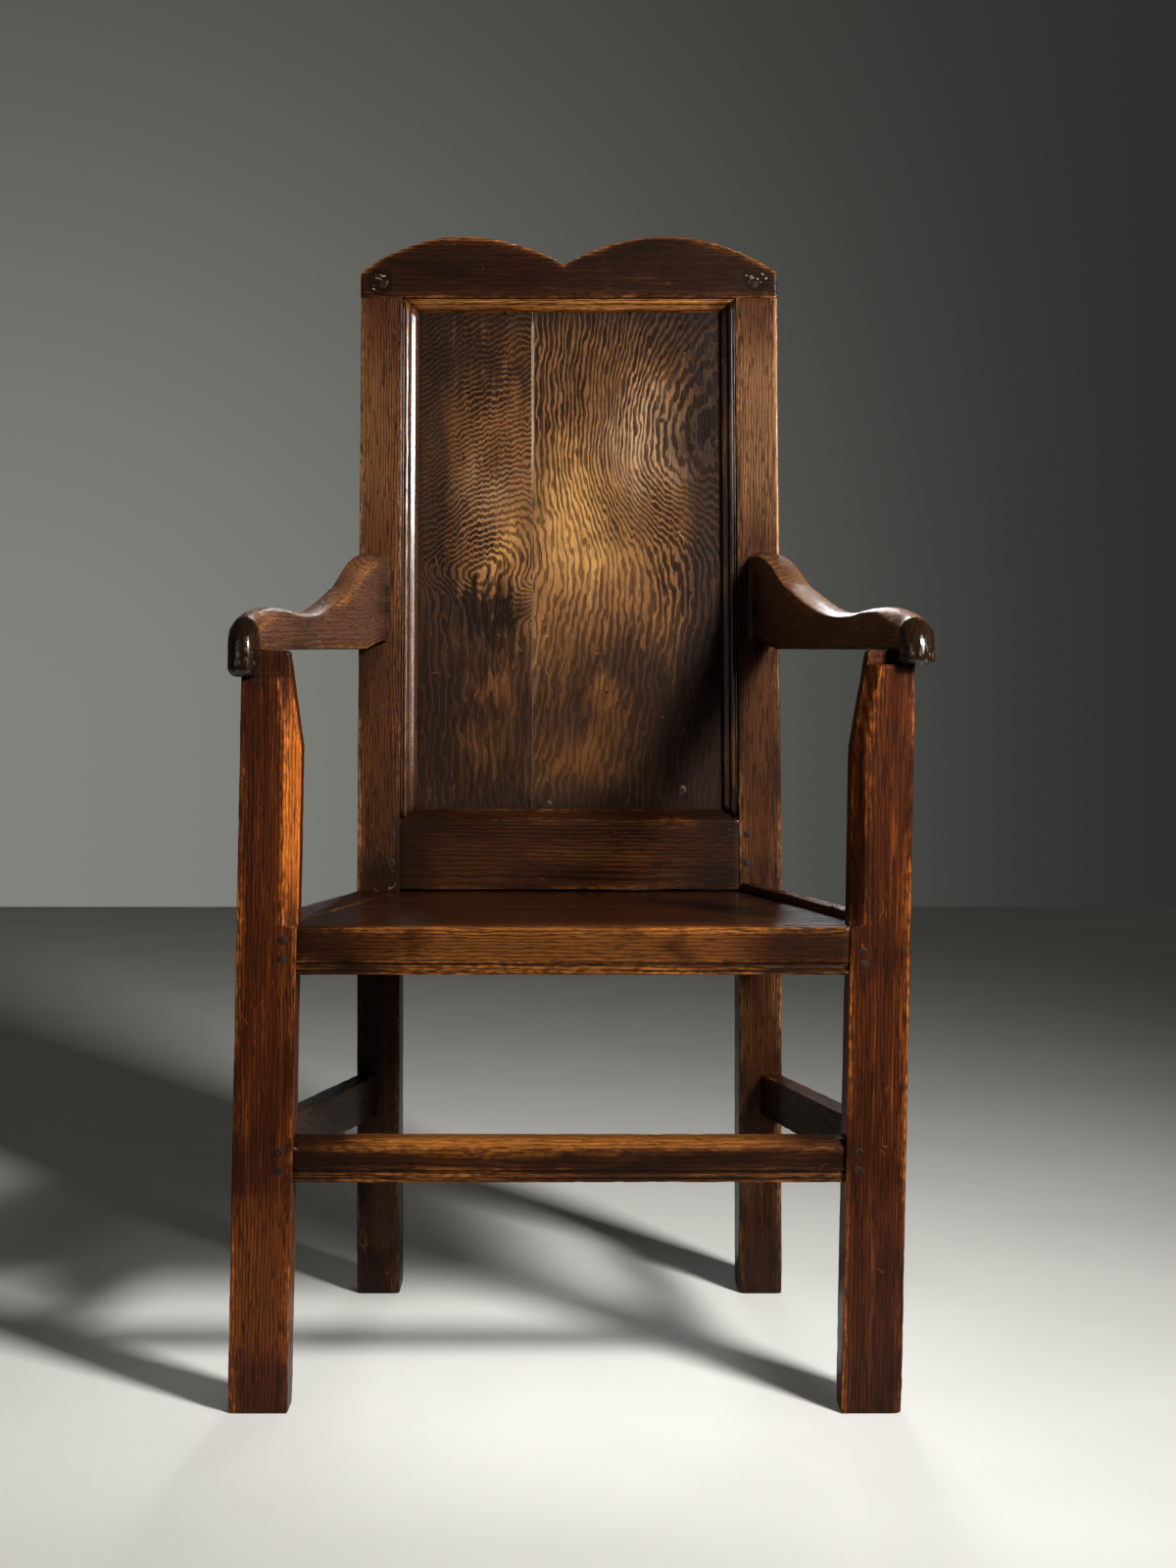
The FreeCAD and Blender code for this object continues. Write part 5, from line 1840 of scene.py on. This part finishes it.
@dataclass(frozen=True)
class Arms(Assembly):
    """The two swept arms, with ends that roll over before the legs."""

    back_height: float = 122.0
    back_centre: float = 218.0
    back_width: float = 28.0
    crown: float = 4.0
    knuckle_crown: float = 12.0
    lip_round: float = 8.0
    straight_rise: float = 12.0
    rear_rise: float = 9.0
    rear_run: float = 60.0
    overhang: float = 18.0
    nose: float = 4.0
    top_reach: float = 36.0
    left_centre: float = -297.6
    right_centre: float = 309.6
    left_width: float = 28.8
    right_width: float = 33.4
    fan_steps: int = 14
    spacing: float = 7.0
    top_shares: tuple[Point, ...] = (
        (0.06, 0.30), (0.145, 0.345), (0.24, 0.352), (0.32, 0.338), (0.425, 0.35), (0.50, 0.385),
        (0.57, 0.44), (0.64, 0.51), (0.71, 0.59), (0.79, 0.69), (0.87, 0.84), (0.95, 0.95),
        (1.03, 0.995), (1.14, 1.0))

    def top(self, y: float) -> float:
        """Return the height of an arm's top line at a depth, on a smooth curve through its marks.

        Args:
            y: The depth.

        Returns:
            The height.
        """
        marks = [(share * CHAIR.depth, rise * self.back_height) for share, rise in self.top_shares]
        y = min(max(y, marks[0][0]), marks[-1][0])
        index = max(i for i, mark in enumerate(marks[:-1]) if mark[0] <= y)
        (y0, z0), (y1, z1) = marks[index], marks[index + 1]
        before = marks[max(0, index - 1)]
        after = marks[min(len(marks) - 1, index + 2)]
        slope0 = (z1 - before[1]) / (y1 - before[0])
        slope1 = (after[1] - z0) / (after[0] - y0)
        run = y1 - y0
        t = (y - y0) / run
        rise = (2 * t ** 3 - 3 * t ** 2 + 1) * z0 + (t ** 3 - 2 * t ** 2 + t) * run * slope0 \
            + (3 * t ** 2 - 2 * t ** 3) * z1 + (t ** 3 - t ** 2) * run * slope1
        return CHAIR.leg_height + rise

    def underside(self, y: float) -> float:
        """Return the height of an arm's underside at a depth."""
        bend = CHAIR.depth - self.rear_run
        rise = self.straight_rise * (y - CHAIR.arm_lap) / (bend - CHAIR.arm_lap)
        rise += self.rear_rise * min(1.0, max(0.0, y - bend) / self.rear_run)
        return CHAIR.leg_height + rise

    def edges(self, side: Side, y: float) -> tuple[float, float]:
        """Return an arm's outer and inner face at a depth."""
        left = side is Side.LEFT
        front = self.left_centre if left else self.right_centre
        width = self.left_width if left else self.right_width
        share = max(0.0, y - CHAIR.arm_lap) / (CHAIR.depth - CHAIR.arm_lap)
        centre = mix(front, side.sign * self.back_centre, share)
        half = mix(width, self.back_width, share) / 2
        return centre + side.sign * half, centre - side.sign * half

    def stations(self, side: Side) -> list[tuple[Point, Point, float]]:
        """Return an arm's sections, from the post to the lip.

        Args:
            side: Which arm.

        Returns:
            The lowest and the highest point (y, z) of each, and how round its corners are.
        """
        def post_face(height: float) -> float:
            """Return how far back the post's face is at a height."""
            return CHAIR.lean_over(Vector((0, CHAIR.depth, CHAIR.up_back(height)))).y

        low_z, high_z = self.underside(CHAIR.depth), self.top(CHAIR.depth * 1.06)
        found = [((post_face(low_z) + 0.2, low_z), (post_face(high_z) + 0.2, high_z), 2.4)]
        for y in spread(CHAIR.depth + 6, self.top_shares[0][0] * CHAIR.depth, self.spacing):
            found.append(((y, self.underside(y)), (y, self.top(y)),
                          mix(3.4, 1.8, smooth(80, 160, y))))
        lip = CHAIR.lip(side)
        reach = self.overhang + CHAIR.arm_lap
        hub_z = CHAIR.leg_height - self.nose
        for step in range(self.fan_steps + 1):
            share = step / self.fan_steps
            turn = math.pi / 2 * share
            found.append(((CHAIR.arm_lap, CHAIR.leg_height - share * self.nose),
                          (CHAIR.arm_lap - reach * math.sin(turn),
                           hub_z + self.top_reach * math.cos(turn)), mix(4.4, 6.0, share)))
        curl = min(self.lip_round, (hub_z - lip) * 0.6)
        for z in spread(hub_z - 2.0, lip + curl, 2.5)[1:]:
            found.append(((CHAIR.arm_lap, z), (-self.overhang, z), 6.0))
        for share in (0.2, 0.4, 0.6, 0.8, 0.92, 1.0):
            turn = math.pi / 2 * share
            draw = curl * (1 - math.cos(turn))
            z = lip + curl * (1 - math.sin(turn))
            found.append(((CHAIR.arm_lap - 0.4 * share, z), (draw - self.overhang, z), 6.0))
        return found

    def narrowing(self, side: Side, height: float) -> float:
        """Return how far an arm's knuckle is rounded in from each side at a height."""
        lip = CHAIR.lip(side)
        curl = min(self.lip_round, (CHAIR.leg_height - self.nose - lip) * 0.6)
        share = min(1.0, max(0.0, (lip + curl - height) / curl))
        return curl * (1 - math.sqrt(1 - share ** 2)) * 0.8

    def surface(self, side: Side) -> Bark:
        """Make an arm's surface.

        Args:
            side: Which arm.

        Returns:
            The surface.
        """
        cuts = []
        along = 0.0
        last = None
        for low, high, soft in self.stations(side):
            start, end = Vector(low), Vector(high)
            tall = (end - start).length
            if last is not None:
                along += (end - last).length
            last = end
            outer, inner = self.edges(side, high[0])
            half = abs(outer - inner) / 2 - self.narrowing(side, high[1])
            centre = (outer + inner) / 2
            crown = min(mix(self.knuckle_crown, self.crown, smooth(10, 70, high[0])), tall * 0.42)
            radius = (half ** 2 + crown ** 2) / (2 * crown)
            quarter = tall - crown + math.sqrt(radius ** 2 - half ** 2 / 4) - (radius - crown)
            shoulder = tall - crown - min(5.0, (tall - crown) * 0.3)
            corners = [(-half, 0.0), (half, 0.0), (half, shoulder), (half, tall - crown),
                       (half / 2, quarter), (0.0, tall), (-half / 2, quarter),
                       (-half, tall - crown), (-half, shoulder)]
            radii = [2.6, 2.6, 0.3, soft, 6.0, 6.0, 6.0, soft, 0.3]

            def place(a: float, b: float, start: Vector = start, end: Vector = end,
                      tall: float = tall, centre: float = centre) -> Vector:
                """Put a point of the section on the chair."""
                spot = start.lerp(end, b / tall)
                return Vector((centre + a, spot.x, spot.y))

            cuts.append(Cut(corners, radii, place, along))
        bark = loft(cuts)
        for index, grain in enumerate(bark.grain):
            flat = abs(grain.x) < 8 and grain.y > 20
            bark.arris[index] *= 0.35 if flat else 1.0
        return bark

    def grime(self, place: Vector) -> float:
        """Return how much dirt a place on an arm has; below zero, its rubbing and the left arm's
        painted highlight.
        """
        top = self.top(max(place.y, 25.0))
        crest = smooth(9, 2, top - place.z) if place.y > 5 else 0.35
        inner = abs(place.x - CHAIR.leg_lean(place.z)) - abs(self.edges(Side.LEFT, place.y)[1])
        # A painted highlight along the left arm's inner top arris.
        lit = 1.1 * smooth(3.2, 1.0, abs(inner)) * smooth(9, 6, top - place.z) * (place.x < 0)
        worn = -0.36 * crest * (0.6 + 0.6 * ripple(place, 45.0, 2.0)) - lit
        post = 0.6 * smooth(370, 425, place.y)
        under = 0.4 * smooth(12, 2, place.z - self.underside(max(place.y, 11.0)))
        knuckle = 1.7 * smooth(9, -4, place.y) * smooth(738, 716, place.z)
        return worn * smooth(0.5, 0.0, knuckle) + post + under + knuckle + 0.05

    def make(self) -> None:
        """Make both arms."""
        boards = {Side.LEFT: Board(34, 26, 7000), Side.RIGHT: Board(-28, 30, 8000)}
        for side in Side:
            bark = self.surface(side)
            Wear(sway=0.5, dents=0.3, nicks=0.5, seed=71 + side.sign).apply(bark)
            self.piece(f"armrest_{side.word}", bark, boards[side], "arm_oak", "arm_oak",
                       [f"arm_{side.word}"], self.grime)


@dataclass(frozen=True)
class PegHead:
    """One hand-cut peg: the middle of its hole on a face, and the way that it was driven in."""

    place: Vector
    into: Vector
    radius: float = 3.5

    def rings(self, profile: Sequence[Point], seed: float) -> Bark:
        """Turn a profile into a slightly faceted round surface.

        Args:
            profile: Each ring's share of the radius, and how far it stands out of the face.
            seed: Tells one peg's cut from another's.

        Returns:
            The surface.
        """
        sides = 18
        bark = Bark()
        across = self.into.orthogonal().normalized()
        up = self.into.cross(across)
        for share, out in profile:
            for index in range(sides):
                turn = math.tau * index / sides
                facet = 1 - 0.05 * (0.5 + 0.5 * math.cos(turn * 7 + seed))
                facet += 0.035 * noise.noise(Vector((seed * 3.1, index * 0.9, 0.5)))
                spot = across * math.cos(turn) + up * math.sin(turn)
                tilt = 0.25 * math.cos(turn + seed) * share
                proud = out + (tilt if out > 0 else 0.0)
                bark.add(self.place + spot * (self.radius * share * facet) - self.into * proud,
                         Vector((math.cos(turn) * share * self.radius,
                                 math.sin(turn) * share * self.radius, out)),
                         1.0 if 0.8 < share < 1.0 else 0.0)
        bark.skin(sides)
        bark.cap(sides)
        return face_outward(bark)

    def head(self, seed: float) -> Bark:
        """Return the peg's head, a little proud and rounded by wear."""
        return self.rings([(1.0, -7.0), (1.0, 0.0), (0.97, 0.12), (0.86, 0.26), (0.45, 0.34)], seed)

    def collar(self, seed: float) -> Bark:
        """Return the dark ring round the peg: packed dirt and a painted shadow of the gap round it.
        """
        return self.rings([(1.1, -3.0), (1.42, -1.15), (1.24, -0.25), (1.1, 0.03), (0.9, 0.04)],
                          seed + 1.7)


@dataclass(frozen=True)
class Pegs(Assembly):
    """The pegs that hold the frame's joints."""

    crest_x: float = 207.0
    crest_height: float = 1113.5
    bottom_x: float = 194.5
    bottom_heights: Point = (471.0, 502.0)
    front_x: float = 262.5
    left_heights: Point = (411.0, 428.0)
    right_heights: Point = (405.5, 417.0)
    stretcher_heights: Point = (219.0, 236.0)
    side_depth: float = 12.5
    rail_height: float = 418.0
    stretcher_front: float = 226.75
    stretcher_back: float = 217.25
    back_x: float = 194.4
    back_y: float = 474.0
    back_height: float = 411.0
    arm_height: float = 752.0
    arm_depth: float = 15.0
    arm_front_y: float = 25.0
    arm_front_height: float = 698.0

    def on_back(self, x: float, height: float, depth: float = 0.0) -> Vector:
        """Return a place on the raked front of the back, or a depth behind it."""
        return CHAIR.lean_over(Vector((x, CHAIR.depth + depth, CHAIR.up_back(height))))

    def groups(self) -> dict[str, list[PegHead]]:
        """Return every group's peg heads, by the CAD node that they stand for."""
        into_back = self.on_back(0, 600, 1.0) - self.on_back(0, 600)
        back, deep = Vector((0, 1, 0)), Vector((0, -1, 0))
        arms = Arms(self.finishes)
        groups: dict[str, list[PegHead]] = {
            "crest_rail_pegs": [], "bottom_rail_pegs": [], "seat_front_rail_pegs": [],
            "front_stretcher_pegs": [], "seat_side_rail_pegs": [], "side_stretcher_pegs": [],
            "seat_back_rail_pegs": [], "arm_pegs": []}
        for side in Side:
            sign = side.sign
            inward = Vector((-sign, 0, 0))
            leg_y, post_y = CHAIR.leg_depth - self.side_depth, CHAIR.depth + self.side_depth
            heights = self.left_heights if side is Side.LEFT else self.right_heights
            groups["crest_rail_pegs"].append(
                PegHead(self.on_back(sign * self.crest_x, self.crest_height), into_back))
            groups["bottom_rail_pegs"] += [
                PegHead(self.on_back(sign * self.bottom_x, z), into_back)
                for z in self.bottom_heights]
            for node, levels in (("seat_front_rail_pegs", heights),
                                 ("front_stretcher_pegs", self.stretcher_heights)):
                groups[node] += [PegHead(Vector((sign * self.front_x + CHAIR.leg_lean(z), 0, z)),
                                         back) for z in levels]
            for node, front, rear in (
                    ("seat_side_rail_pegs", self.rail_height, self.rail_height),
                    ("side_stretcher_pegs", self.stretcher_front, self.stretcher_back)):
                leg_x = sign * CHAIR.seat_half_width + CHAIR.leg_lean(front)
                groups[node] += [PegHead(Vector((leg_x, leg_y, front)), inward),
                                 PegHead(Vector((sign * CHAIR.back_half_width, post_y, rear)),
                                         inward)]
            groups["seat_back_rail_pegs"].append(
                PegHead(Vector((sign * self.back_x, self.back_y, self.back_height)), deep))
            outer = arms.edges(side, self.arm_front_y)[0]
            groups["arm_pegs"] += [
                PegHead(self.on_back(sign * CHAIR.back_half_width, self.arm_height,
                                     self.arm_depth), inward),
                PegHead(Vector((outer, self.arm_front_y, self.arm_front_height)), inward)]
        return groups

    def make(self) -> None:
        """Make every group of pegs, and dress the hidden pins."""
        for count, (node, heads) in enumerate(self.groups().items()):
            wood, dirt = Bark(), Bark()
            for index, head in enumerate(heads):
                wood.join(head.head(count * 7.0 + index * 1.3))
                dirt.join(head.collar(count * 7.0 + index * 1.3))
            stem = node.removesuffix("_pegs")
            self.piece(f"{stem}_peg_heads", wood, Board(20, 20, 90 * count),
                       "peg_oak", "peg_oak", [node])
            # The dark ring round each peg: packed dirt and painted shadow.
            self.piece(f"{stem}_peg_dirt", dirt, Board(5, 9, 60 * count),
                       "packed_dirt", "peg_oak", [])
        for node in ("seat_board_pins", "seat_strip_pins", "moulding_sprigs"):
            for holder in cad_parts[node].material_slots:
                holder.material = self.finishes["peg_oak"]


def panel_finishes() -> tuple[Finish, Finish]:
    """Return the finishes of the panel's left board and of its right one."""
    dark, umber, rust = srgb(18, 10, 6), srgb(40, 23, 12), srgb(94, 57, 27)
    ash, gold = srgb(160, 124, 90), srgb(188, 138, 76)
    # The tones paint a pool of light over the boards' middle, falling off into painted shade
    # towards the top and the bottom, over the wood's own tones.
    left = KnotBoard(
        "panel_oak_left", line_spacing=7.4,
        tones=(Tone((-100, 1045), (125, 74), umber, 0.9, 0.9),
               Tone((-66, 1050), (26, 28), rust, 0.7), Tone((-128, 985), (22, 30), rust, 0.4),
               Tone((-92, 880), (60, 76), ash, 0.3), Tone((-72, 815), (40, 44), gold, 0.4),
               Tone((-100, 620), (140, 160), umber, 1.0, 0.6),
               Tone((-94, 742), (74, 44), dark, 0.95, 0.7),
               Tone((-84, 664), (44, 22), rust, 0.6, 0.9), Tone((-100, 600), (56, 34), rust, 0.45),
               Tone((-60, 640), (12, 60), rust, 0.3)),
        knots=(Knot((-106.0, 785.0), (7.0, 8.0)), Knot((-119.0, 922.0), (3.0, 4.0)),
               Knot((-94.8, 550.0), (1.4, 1.4))))
    right = WhorlBoard(
        "panel_oak_right", line_spacing=8.4,
        # The first gold patch is the bright middle of the painted pool of light; the ash patch by
        # the whorl is partly a painted grey sheen.
        tones=(Tone((8, 860), (66, 125), gold, 0.56), Tone((36, 806), (84, 56), gold, 0.25),
               Tone((88, 940), (74, 92), ash, 0.75, 0.9), Tone((128, 948), (50, 60), dark, 0.85),
               Tone((118, 1060), (86, 66), umber, 0.75), Tone((30, 1056), (36, 26), rust, 0.6),
               Tone((42, 1000), (24, 34), rust, 0.5),
               Tone((50, 600), (170, 170), umber, 0.92, 0.6), Tone((70, 690), (50, 80), dark, 0.5),
               Tone((46, 640), (40, 40), rust, 0.6), Tone((16, 582), (70, 44), rust, 0.6),
               # The right arm's painted shadow, across the board's lower right.
               Tone((158, 606), (84, 170), dark, 0.95, 0.5)),
        knots=(Knot((104.0, 964.0), (6.0, 4.0)), Knot((134.0, 933.0), (8.0, 6.0)),
               Knot((42.0, 659.0), (3.0, 2.5)), Knot((-22.5, 535.0), (3.6, 3.2), True),
               Knot((125.6, 550.0), (4.2, 4.6), True), Knot((69.7, 550.0), (1.5, 1.5))))
    return left, right


def make_finishes() -> dict[str, bpy.types.Material]:
    """Make all of the chair's materials, and return them by their names."""
    hollow = srgb(20, 8, 3)
    finishes = (
        WaxedOak("frame_oak", hollow, srgb(30, 11, 4), srgb(64, 27, 10), srgb(178, 96, 34),
                 line_spacing=3.2, line_strength=0.85, streaks=0.8, gloss=0.6),
        WaxedOak("post_oak", hollow, srgb(34, 15, 5), srgb(74, 40, 17), srgb(166, 116, 72),
                 line_spacing=3.0, line_strength=0.85, gloss=0.6),
        # The crest's oak is darker than the frame's, partly as painted shade.
        WaxedOak("crest_oak", hollow, srgb(18, 8, 4), srgb(36, 17, 8), srgb(150, 88, 38),
                 line_spacing=4.0, streaks=0.4, gloss=0.6),
        WaxedOak("rail_oak", hollow, srgb(22, 8, 2), srgb(50, 23, 7), srgb(132, 78, 30),
                 line_spacing=3.6, line_strength=1.0, streaks=0.4, gloss=0.6),
        WaxedOak("arm_oak", srgb(5, 4, 3), srgb(40, 20, 10), srgb(84, 50, 32), srgb(150, 96, 40),
                 line_spacing=3.2, streaks=0.4, gloss=0.35, coat=0.06, specular=0.4, polish=0.4),
        WaxedOak("seat_oak", hollow, srgb(26, 9, 3), srgb(46, 21, 8), srgb(100, 54, 24),
                 line_spacing=5.2, line_strength=0.75, streaks=0.4, gloss=0.85, coat=0.4,
                 scuffs=0.5),
        WaxedOak("moulding_oak", hollow, srgb(56, 26, 8), srgb(116, 68, 30), srgb(190, 132, 72),
                 line_spacing=1.9, line_strength=0.9, gloss=0.85),
        WaxedOak("bead_oak", hollow, srgb(34, 17, 8), srgb(66, 38, 18), srgb(120, 78, 42),
                 line_spacing=2.2, gloss=0.9, coat=0.3, specular=0.06),
        EndGrain("peg_oak", srgb(12, 5, 2), srgb(40, 20, 9), srgb(84, 52, 27)),
        Plain("packed_dirt", srgb(14, 8, 5), srgb(30, 18, 12), 0.8, 400.0),
        *panel_finishes())
    return {finish.name: finish.material() for finish in finishes}


@dataclass(frozen=True)
class Studio:
    """The floor, the light and the camera. Its lengths are in metres, in the row frame."""

    floor_half: float = 9.0
    floor_back: float = 5.1
    lens: float = 49.9
    eye: tuple[float, float, float] = (-0.0280, -2.2030, 0.6265)
    shift: Point = (0.0244, -0.0406)

    def make_floor(self) -> None:
        """Lay the plain pale floor, as a grid that ends far behind the chair."""
        count = 12
        places, faces = [], []
        for row in range(count + 1):
            for column in range(count + 1):
                x = mix(-self.floor_half, self.floor_half, column / count)
                y = mix(-self.floor_half, self.floor_back, row / count)
                places.append((x, y, 0.0))
        for row in range(count):
            for column in range(count):
                first = row * (count + 1) + column
                faces.append((first, first + 1, first + count + 2, first + count + 1))
        mesh = bpy.data.meshes.new("floor")
        mesh.from_pydata(places, [], faces)
        mesh.materials.append(Plain("floor_paint", srgb(230, 229, 222), srgb(224, 223, 216), 0.55,
                                    3.0).material())
        floor = bpy.data.objects.new("floor", mesh)
        bpy.context.scene.collection.objects.link(floor)

    def make_lamp(self, name: str, place: Sequence[float], aim: Sequence[float], size: Point,
                  power: float, spread_angle: float) -> None:
        """Hang a soft rectangular lamp.

        Args:
            name: The lamp's name.
            place: Where it hangs.
            aim: What it faces.
            size: Its width and height.
            power: Its power, in watts.
            spread_angle: How wide its light spreads, in degrees.
        """
        data = bpy.data.lights.new(name, "AREA")
        data.shape = "RECTANGLE"
        data.size, data.size_y = size
        data.energy = power
        data.spread = math.radians(spread_angle)
        lamp = bpy.data.objects.new(name, data)
        lamp.location = place
        lamp.visible_camera = False
        lamp.rotation_euler = (Vector(aim) - Vector(place)).to_track_quat("-Z", "Y").to_euler()
        bpy.context.scene.collection.objects.link(lamp)

    def make_world(self) -> None:
        """Surround the chair with a plain grey, darker towards the right and the top."""
        world = bpy.data.worlds.new("studio_grey")
        bpy.context.scene.world = world
        weaver = Weaver(world)
        x, _, z = weaver.place("Generated").split()
        left = z.step(0.0, 0.4).blend(srgb(130, 131, 125), srgb(80, 79, 75))
        grey = x.step(-0.25, 0.3).blend(left, srgb(46, 46, 44))
        seen = weaver.node("ShaderNodeLightPath").outputs["Is Camera Ray"]
        shown = weaver.blend(seen, srgb(56, 56, 54), grey)
        backdrop = weaver.node("ShaderNodeBackground", Color=shown)
        weaver.node("ShaderNodeOutputWorld", Surface=backdrop.outputs[0])

    def make_camera(self) -> None:
        """Set the camera where the photograph was taken."""
        data = bpy.data.cameras.new("camera")
        data.lens = self.lens
        data.clip_end = 60.0
        data.shift_x, data.shift_y = self.shift
        camera = bpy.data.objects.new("camera", data)
        camera.location = self.eye
        camera.rotation_euler = (math.radians(90), 0.0, 0.0)
        bpy.context.scene.collection.objects.link(camera)
        bpy.context.scene.camera = camera

    def make(self) -> None:
        """Make the whole studio."""
        self.make_floor()
        self.make_world()
        self.make_camera()
        self.make_lamp("key", (1.25, -1.56, 1.58), (0, 0, 0.6), (0.38, 0.38), 20.5, 80.0)
        self.make_lamp("strip", (1.2, -1.5, 1.47), (0, 0, 0.8), (0.22, 1.2), 4.2, 70.0)
        self.make_lamp("fill", (-2.2, -2.4, 1.3), (0, 0, 0.6), (1.6, 1.6), 1.3, 90.0)
        self.make_lamp("back", (0.1, 1.6, 1.45), (0, 0.2, 0.8), (0.6, 0.6), 1.8, 40.0)
        bpy.context.scene.view_settings.view_transform = "Standard"


def main() -> None:
    """Make the chair, its studio and its camera."""
    logging.basicConfig(level=logging.INFO, format="%(message)s")
    Studio().make()
    finishes = make_finishes()
    for kind in (FrontLegs, BackPosts, CrestRail, BottomRail, Panel, Mouldings, FrontBars, SideBars,
                 SeatBoards, SeatStrip, Arms, Pegs):
        log.info("%s", kind.__name__)
        kind(finishes).make()


if __name__ == "__main__":
    main()
